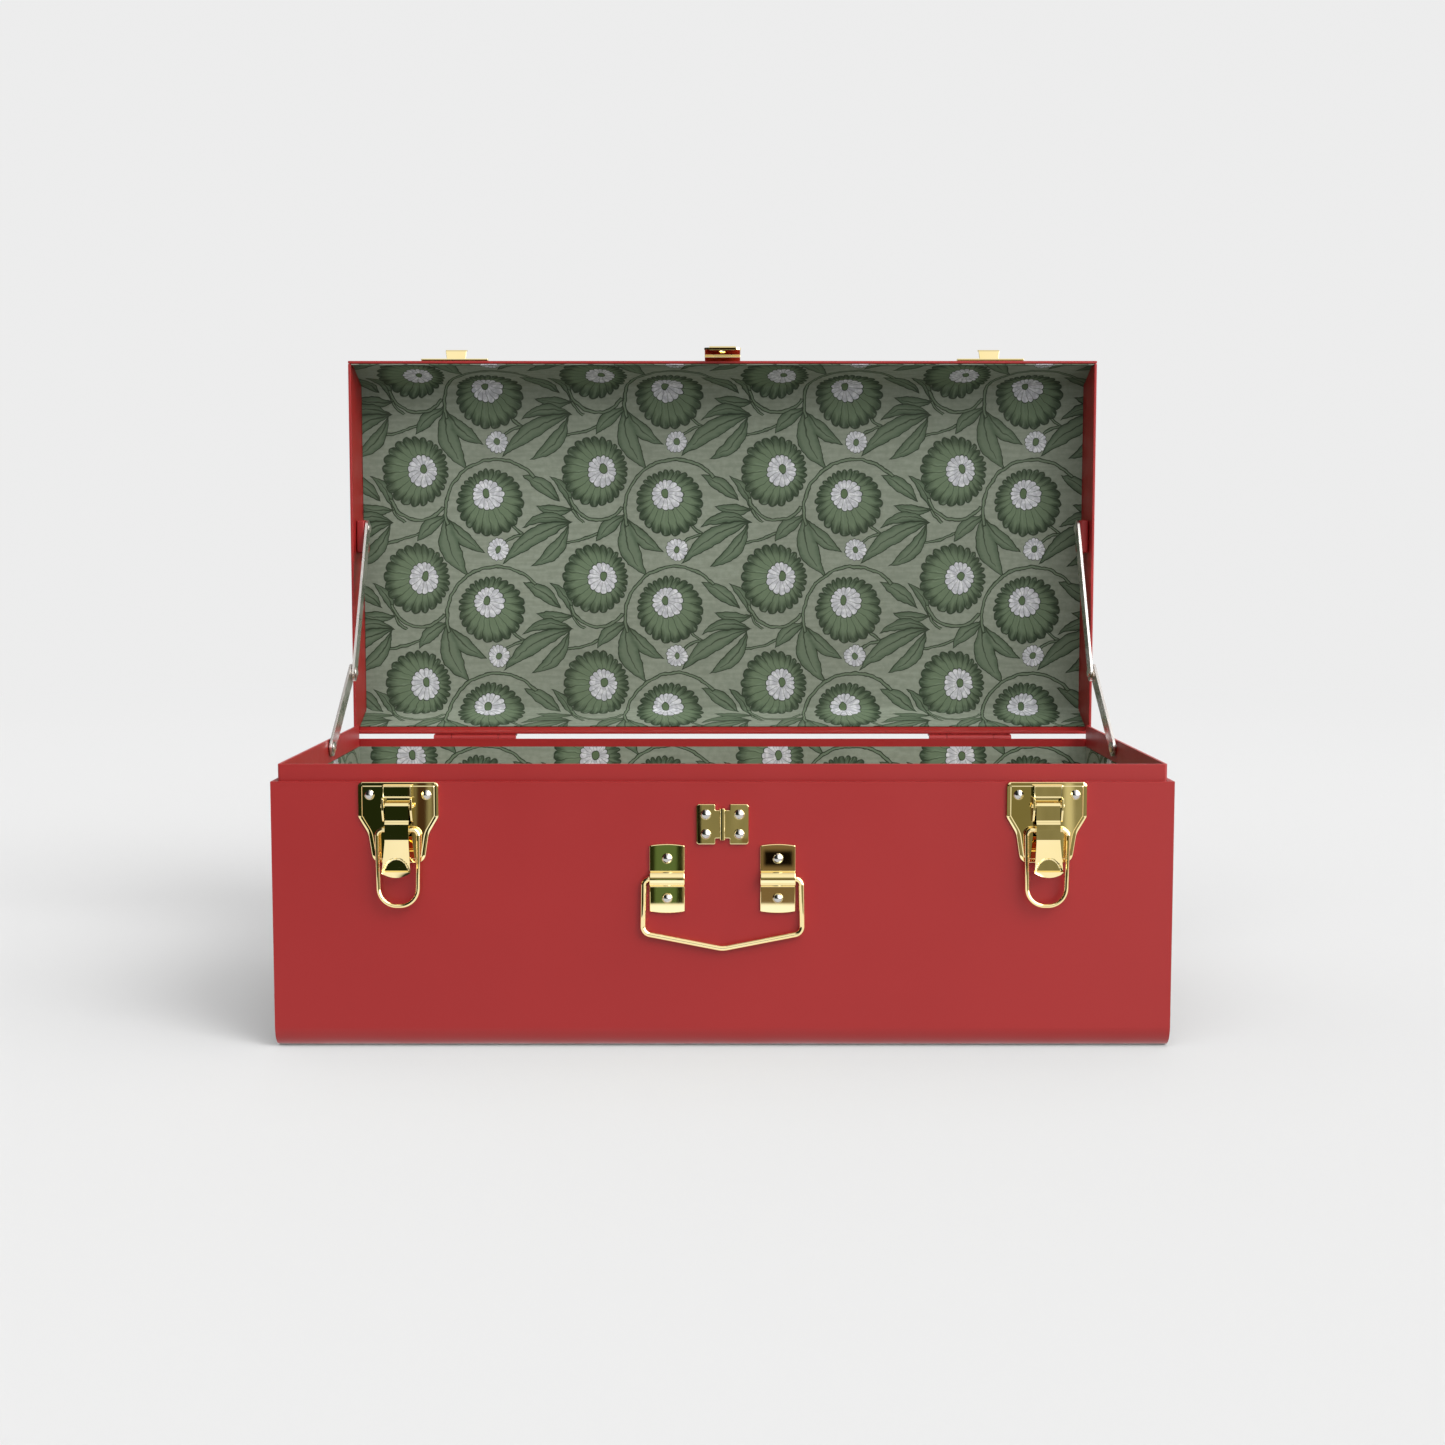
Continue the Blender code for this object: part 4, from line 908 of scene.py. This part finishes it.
def printed_sheet(solid, path, reach, thickness, shift):
    """Sheet along a path of (y, z) between -reach and reach, printed the right way up where steep."""
    inner = shifted(path, thickness)
    distances = travelled(inner)
    steps = [second - first for first, second in zip(inner, inner[1:])]
    upright = [i for i, step in enumerate(steps) if abs(step.normalized().y) > 0.99]
    datum = max(upright, key=lambda i: (inner[i].x, steps[i].length))
    offset = inner[datum].y - distances[datum]
    rings = []
    for front, behind, distance in zip(inner, path, distances):
        rings.append([(-reach, *front), (reach, *front), (reach, *behind), (-reach, *behind)])
        up = distance + offset + shift[1]
        solid.coords += [(x + shift[0], up) for x in (-reach, reach, reach, -reach)]
    solid.loft(rings)


def printed_end(solid, outline, outer, inner, shift):
    """Flat board with an outline in (y, z) between two places across, printed on its face."""
    solid.bar(outline, outer, inner)
    solid.coords += [(point.x + shift[0], point.y + shift[1]) for point in outline] * 2


def lid_lining():
    """Lining glued inside the lid, bare at the back rim."""
    path = lid_path()
    glued = trimmed(path, BARE_LID_BACK, travelled(path)[-1] - GAP)
    solid = Solid()
    wall = shifted(glued, -SHEET - GAP)
    printed_sheet(solid, wall, SIDE - SHEET - GAP, -LID_LINING, (0, 0))
    return piece("lid_lining_print", solid, "lid", "lining", 40, ["lid_lining"])


def base_lining():
    """Lined boards inside the base: one around its front, floor and back, and two ends."""
    low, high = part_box("base_lining")
    corners = [
        (low.y, high.z, 0),
        (low.y, low.z, EDGE_RADIUS),
        (high.y, low.z, EDGE_RADIUS),
        (high.y, high.z, 0),
    ]
    path = [Vector(point) for point in rounded(corners, closed=False)]
    ends = high.x - BASE_BOARD
    solid = Solid()
    printed_sheet(solid, path, ends - BOARD_GAP, -BASE_BOARD, BASE_PRINT_SHIFT)
    for sign in (-1, 1):
        printed_end(solid, path, sign * high.x, sign * ends, BASE_PRINT_SHIFT)
    return piece("base_lining_print", solid, "base", "lining", 40, ["base_lining"])


# Latches


def rolled(back, face):
    """Levels, as inset and place, of a pressed plate from its back to its face."""
    return [
        (0, back),
        (0, face + PRESSED_ROLL),
        (PRESSED_ROLL * 0.3, face + PRESSED_ROLL * 0.3),
        (PRESSED_ROLL, face),
    ]


def mirrored(half_corners, x):
    """Counter-clockwise outline, seen from the front, of corners listed down its right side."""
    right = [(x + cx, cz, radius) for cx, cz, radius in reversed(half_corners)]
    left = [(x - cx, cz, radius) for cx, cz, radius in half_corners]
    return right + left


def latch_plate(side, x):
    """Shield plate with a raised field, a hollow hood and two ears."""
    solid = Solid()
    field = [
        (FIELD_INSET - FIELD_RISE, PLATE_FACE),
        (FIELD_INSET - FIELD_RISE * 0.7, PLATE_FACE - FIELD_RISE * 0.3),
        (FIELD_INSET, PLATE_FACE - FIELD_RISE),
    ]
    solid.plate(mirrored(LATCH_CORNERS, x), rolled(FRONT - GAP, PLATE_FACE) + field)
    low, high = HOOD_ENDS
    half = HOOD_WIDTH / 2
    hood = rectangle((x - half, low), (x + half, high), 0, HOOD_CORNER)
    face = PLATE_FACE - HOOD_STAND
    rim = PRESSED_ROLL + HOOD_RIM
    slope, ledge = HOOD_HOLLOW_INSETS
    hollow = [
        (rim, face),
        (rim + slope, face + HOOD_HOLLOW),
        (rim + ledge, face + HOOD_HOLLOW),
    ]
    solid.plate(hood, rolled(PLATE_FACE, face) + hollow, steps=4)
    ear = rounded([(PLATE_FACE - stand, height, radius) for stand, height, radius in EAR_SIDE])
    for start in (-EAR_WIDTH / 2, EAR_WIDTH / 2 - EAR_SHEET):
        solid.bar(ear, x + start, x + start + EAR_SHEET)
    node = f"latch_plate_{side}"
    obj = piece(node + "_pressed", solid, "base", "brass", 35, [node])
    return soften(obj, *LATCH_ROLL)


def latch_lever(side, x):
    """Blade with a thumb scoop at its flared tip, on a knuckle and a sleeve."""
    rows, columns = 120, 44
    corners = [(LATCH_Y - stand, height, radius) for stand, height, radius in LEVER_SIDE]
    profile = [Vector(point) for point in rounded(corners, closed=False, steps=6)]
    path = resampled(profile, rows)
    scoop_y = min(y for y, z in path if z > SCOOP_FOOT + SCOOP_HEIGHT) + SCOOP_SINK
    flare_top, flare_end = LEVER_FLARE
    front = []
    for y, z in path:
        flare = clamped((LEVER_TIP + flare_top - z) / (flare_top - flare_end))
        half = (LEVER_WIDTH + (LEVER_TIP_WIDTH - LEVER_WIDTH) * flare) / 2
        row = []
        for column in range(columns + 1):
            across = (2 * column / columns - 1) * half
            height = z
            if z < SCOOP_FOOT:
                height = SCOOP_FOOT - (SCOOP_FOOT - z) * (1 - TIP_BOW * (across / half) ** 2)
            up = (height - SCOOP_FOOT) / SCOOP_HEIGHT
            wide = SCOOP_HALF_WIDTH + SCOOP_FLARE * max(0.0, 1 - 3 * max(0.0, up)) ** 2
            inside = min((1 - math.hypot(across / wide, up)) * wide, height - SCOOP_FOOT)
            depth = max(0.0, scoop_y - y) * clamped(inside / SCOOP_RIM)
            row.append(Vector((x + across, y + depth, height)))
        front.append(row)
    back = [[point + Vector((0, LEVER_SHEET, 0)) for point in row] for row in front]
    solid = Solid().sheet(front, back)
    half = LEVER_WIDTH / 2
    for height, radius in ((LEVER_PIVOT, KNUCKLE_RADIUS), (BAIL_PIVOT, SLEEVE_RADIUS)):
        solid.bar(circle((LATCH_Y, height), radius, 32), x - half, x + half)
    node = f"latch_lever_{side}"
    return piece(node + "_blade", solid, node, "brass", 38, [node])


def bail(side, x):
    """Closed wire loop that hangs from the lever's sleeve."""
    top, bottom = BAIL_RADII
    half = ((BAIL_HALF_WIDTH, BAIL_PIVOT, top), (BAIL_WAIST, BAIL_BOTTOM, bottom))
    loop = rounded(mirrored(half, x), steps=20)
    solid = Solid().tube([(px, LATCH_Y, pz) for px, pz in loop], BAIL_WIRE, closed=True)
    node = f"latch_bail_{side}"
    return piece(node + "_wire", solid, node, "brass", 60, [node])


# Handle, staple and screws


def drop_handle():
    """Wire with a shallow point at its bottom, whose ends turn in under the brackets."""
    end = BRACKET_PLACE - BRACKET_WIDTH / 2 + HANDLE_END_PLAY
    half = HANDLE_HALF_WIDTH
    top, corner, point = HANDLE_RADII
    left = [
        (-end, HANDLE_AXIS, 0),
        (-half + HANDLE_SPLAY, HANDLE_AXIS, top),
        (-half, HANDLE_CORNER, corner),
    ]
    right = [(-x, z, radius) for x, z, radius in reversed(left)]
    path = rounded(left + [(0, HANDLE_BOTTOM, point)] + right, closed=False, steps=14)
    solid = Solid().tube([(px, HANDLE_Y, pz) for px, pz in path], HANDLE_WIRE, sides=24)
    return piece("drop_handle_wire", solid, "drop_handle", "brass", 60, ["drop_handle"])


def handle_bracket(side, x):
    """Strap with bowed ends, rolled edges and a rounded saddle over the wire."""
    low, high = BRACKET_ENDS
    back = FRONT - GAP
    saddle = HANDLE_WIRE + WIRE_PLAY
    top = HANDLE_AXIS + saddle + PLATE
    foot = HANDLE_AXIS - saddle - PLATE
    crest = HANDLE_Y - saddle
    bend, crest_bend = SADDLE_RADII
    corners = [
        (back, high, 0),
        (back, top, bend),
        (crest, top - GAP, crest_bend),
        (crest, foot + GAP, crest_bend),
        (back, foot, bend),
        (back, low, 0),
    ]
    inner = [Vector(point) for point in rounded(corners, closed=False)]
    columns = 20
    half = BRACKET_WIDTH / 2
    layers = []
    for layer in (shifted(inner, PLATE), inner):
        grid = []
        for y, z in layer:
            bowed = (z < low + BOWED_END) - (z > high - BOWED_END)
            row = []
            for column in range(columns + 1):
                across = (2 * column / columns - 1) * half
                sag = BRACKET_BOW - math.sqrt(BRACKET_BOW**2 - across**2)
                row.append(Vector((x + across, y, z + bowed * sag)))
            grid.append(row)
        layers.append(grid)
    node = f"handle_bracket_{side}"
    obj = piece(node + "_strap", Solid().sheet(*layers), "base", "brass", 40, [node])
    return soften(obj, *STRAP_ROLL)


def staple_plate():
    """Two pads joined by a narrow waist, with a half-round barrel down the middle."""
    half_x, half_z = STAPLE_HALF
    neck_x, neck_z = STAPLE_NECK
    outer_radius, notch_radius, root_radius = STAPLE_RADII
    corners = []
    for sx, sz in ((1, -1), (1, 1), (-1, 1), (-1, -1)):
        end = STAPLE_CENTRE + sz * half_z
        outer = (sx * half_x, end, outer_radius)
        notch = (sx * neck_x, end, notch_radius)
        root = (sx * neck_x, STAPLE_CENTRE + sz * neck_z, root_radius)
        corners += [root, notch, outer] if sx * sz < 0 else [outer, notch, root]
    solid = Solid()
    solid.plate(corners, rolled(FRONT - GAP, PLATE_FACE), steps=6)
    barrel = arc((0, PLATE_FACE + BARREL_SINK), BARREL_RADIUS, 180, 360, 16)
    reach = neck_z + BARREL_REACH
    ends = (STAPLE_CENTRE - reach, STAPLE_CENTRE + reach)
    solid.loft([[(bx, by, height) for bx, by in barrel] for height in ends])
    node = "hasp_staple_plate"
    obj = piece(node + "_pressed", solid, "base", "brass", 35, [node])
    return soften(obj, *STAPLE_ROLL)


def screw(node):
    """Dome head, with a narrow ring around its flat underside, on its shank."""
    low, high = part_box(node)
    centre = (low + high) / 2
    head_back = FRONT - 2 * GAP - PLATE
    ball = (SCREW_HEAD**2 + SCREW_DOME**2) / (2 * SCREW_DOME)
    edge = math.degrees(math.asin(SCREW_HEAD / ball))
    radius, length = SHANK
    profile = [(radius, -length), (radius, 0.0), (SCREW_HEAD - HEAD_EDGE, 0.0)]
    profile += arc((0, SCREW_DOME - ball), ball, 90 - edge, DOME_END, 12)
    solid = Solid().turned(profile, (centre.x, head_back, centre.z), (0, -1, 0), 32)
    return piece(node + "_dome", solid, "base", "nickel_screws", 50, [node])


# Trays


def felt_floors(side, across, along):
    """Felt laid in each pocket of a tray, a little short of its walls and slightly crowned."""
    low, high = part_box(f"tray_{side}")
    base = low.z + TRAY_FLOOR + FELT_LIFT
    room_x = (high.x - low.x - TRAY_WALL) / across
    room_y = (high.y - low.y - TRAY_WALL) / along
    less = TRAY_WALL + 2 * FELT_PLAY
    solid = Solid()
    for column in range(across):
        for row in range(along):
            x = low.x + TRAY_WALL + column * room_x + FELT_PLAY
            y = low.y + TRAY_WALL + row * room_y + FELT_PLAY
            far = (x + room_x - less, y + room_y - less)
            rings = []
            for inset, share in FELT_CROWN:
                outline = rounded(rectangle((x, y), far, inset, FELT_CORNER), steps=4)
                height = base + FELT_THICKNESS * share
                rings.append([(px, py, height) for px, py in outline])
            solid.loft(rings)
    body = f"tray_{side}"
    return piece(body + "_felt", solid, body, "lining", 50, material=FELT)


# Stage, light and camera


def stage():
    """Pale floor that rises far away into an evenly lit surround, seen by the camera only."""
    nodes = MaterialNodes("pale_stage")
    nodes.set(Base_Color=STAGE_FLOOR, Roughness=1.0, Specular_IOR_Level=0.0)
    distance = nodes.vector("LENGTH", nodes.new("ShaderNodeNewGeometry", output="Position"))
    glow = nodes.new("ShaderNodeEmission", {"Color": STAGE_GLOW, "Strength": 1.0})
    share = nodes.ramp(distance, *GLOW_FROM)
    blended = nodes.new("ShaderNodeMixShader", {0: share, 1: nodes.shader.outputs[0], 2: glow})
    nodes.put(nodes.output.inputs["Surface"], blended)
    far = STAGE_RADII[-1]
    profile = [(radius, 0) for radius in STAGE_RADII]
    profile += arc((far, STAGE_BEND), STAGE_BEND, -90, 0, 12)
    profile += [(far + STAGE_BEND, STAGE_TOP)]
    sides = 64
    rings = []
    for radius, height in reversed(profile):
        rings.append([(x, y, height) for x, y in circle((0, 0), radius, sides)])
    bowl = Solid().loft(rings, cap=False)
    bowl.faces.append(tuple(range(len(bowl.verts) - sides, len(bowl.verts))))
    mesh = bowl.mesh("stage")
    mesh.shade_smooth()
    mesh.materials.append(nodes.material)
    obj = placed("stage", mesh)
    obj.visible_glossy = False
    obj.visible_diffuse = False
    obj.visible_shadow = False


def panel(nodes, sky, across, up, low_x, high_x, low_z, high_z, soft, colour):
    """Paints a soft-edged rectangle of the studio over its surroundings."""
    mask = nodes.ramp(across, low_x - soft, low_x + soft)
    for value, near, far in (
        (across, high_x + soft, high_x - soft),
        (up, low_z - soft, low_z + soft),
        (up, high_z + soft, high_z - soft),
    ):
        mask = nodes.math("MULTIPLY", mask, nodes.ramp(value, near, far))
    return nodes.mix(mask, sky, (*colour, 1))


def surroundings():
    """A studio for the metal to reflect: white above and below, a cluttered dark wall in front."""
    world = bpy.data.worlds.new("studio")
    world.use_nodes = True
    bpy.context.scene.world = world
    nodes = Nodes(world.node_tree)
    background = nodes.tree.nodes["Background"]
    facing = nodes.new("ShaderNodeTexCoord", output="Generated")
    across = nodes.new("ShaderNodeSeparateXYZ", {0: facing})
    ahead = across.node.outputs[1]
    up = across.node.outputs[2]
    cloud = nodes.noise(nodes.vector("MULTIPLY", facing, TAN_CLOUDS), 42.0, 3.0)
    tan = nodes.mix(cloud, *TAN_WALL)
    sky = nodes.mix(nodes.ramp(across, *TAN_FROM), DARK_WALL, tan)
    for item in CLUTTER:
        sky = panel(nodes, sky, across, up, *item)
    sky = nodes.mix(nodes.ramp(up, *CEILING_FROM), sky, CEILING)
    sky = panel(nodes, sky, across, up, *HASP_PANEL)
    sky = nodes.mix(nodes.ramp(ahead, *SIDES_FROM), sky, SIDES)
    lit = nodes.math("MULTIPLY", nodes.ramp(across, *WINDOW_ACROSS), nodes.ramp(up, *WINDOW_UP))
    sky = nodes.mix(lit, sky, WINDOW)
    sky = nodes.mix(nodes.ramp(ahead, *BEHIND_FROM), sky, BEHIND)
    dim = nodes.math("MULTIPLY", nodes.ramp(across, *SHADE_ACROSS), nodes.ramp(up, *SHADE_UP))
    sky = nodes.mix(dim, sky, SHADE)
    sky = nodes.mix(nodes.ramp(up, *FLOOR_FROM), sky, FLOOR)
    sky = panel(nodes, sky, across, up, *BRIGHT_FLOOR)
    diffuse = nodes.new("ShaderNodeLightPath", output="Is Diffuse Ray")
    sky = nodes.mix(diffuse, sky, AMBIENT)
    nodes.put(background.inputs["Color"], sky)


def sun(name, direction, strength, spread, colour):
    """Distant soft light that shines along a direction and isn't mirrored in metal."""
    light = bpy.data.lights.new(name, "SUN")
    light.energy = strength
    light.angle = math.radians(spread)
    light.color = colour
    obj = placed(name, light)
    obj.rotation_euler = Vector((0, 0, -1)).rotation_difference(Vector(direction)).to_euler()
    obj.visible_glossy = False


def camera():
    """The camera, level with the lid's middle and tilted a little down."""
    view = bpy.data.cameras.new("photo_camera")
    view.lens = LENS
    view.sensor_width = SENSOR
    view.clip_start = 0.01
    view.clip_end = 50
    obj = placed("photo_camera", view)
    obj.location = CAMERA_PLACE
    obj.rotation_euler = (math.radians(90 - CAMERA_PITCH), 0, 0)
    bpy.context.scene.camera = obj
    bpy.context.scene.view_settings.view_transform = "Standard"


def build():
    """Every piece, then the finishes of the CAD nodes that stay, and the studio."""
    lid_lining()
    base_lining()
    drop_handle()
    staple_plate()
    for side, sign in (("left", -1), ("right", 1)):
        latch_plate(side, sign * LATCH_PLACE)
        latch_lever(side, sign * LATCH_PLACE)
        bail(side, sign * LATCH_PLACE)
        handle_bracket(side, sign * BRACKET_PLACE)
    for node in sorted(frame["nodes"]):
        if node.startswith(("latch_screw", "handle_screw", "staple_screw")):
            screw(node)
    felt_floors("left", 2, 3)
    felt_floors("right", 3, 2)
    dressed()
    stage()
    surroundings()
    for light in SUNS:
        sun(*light)
    camera()


build()
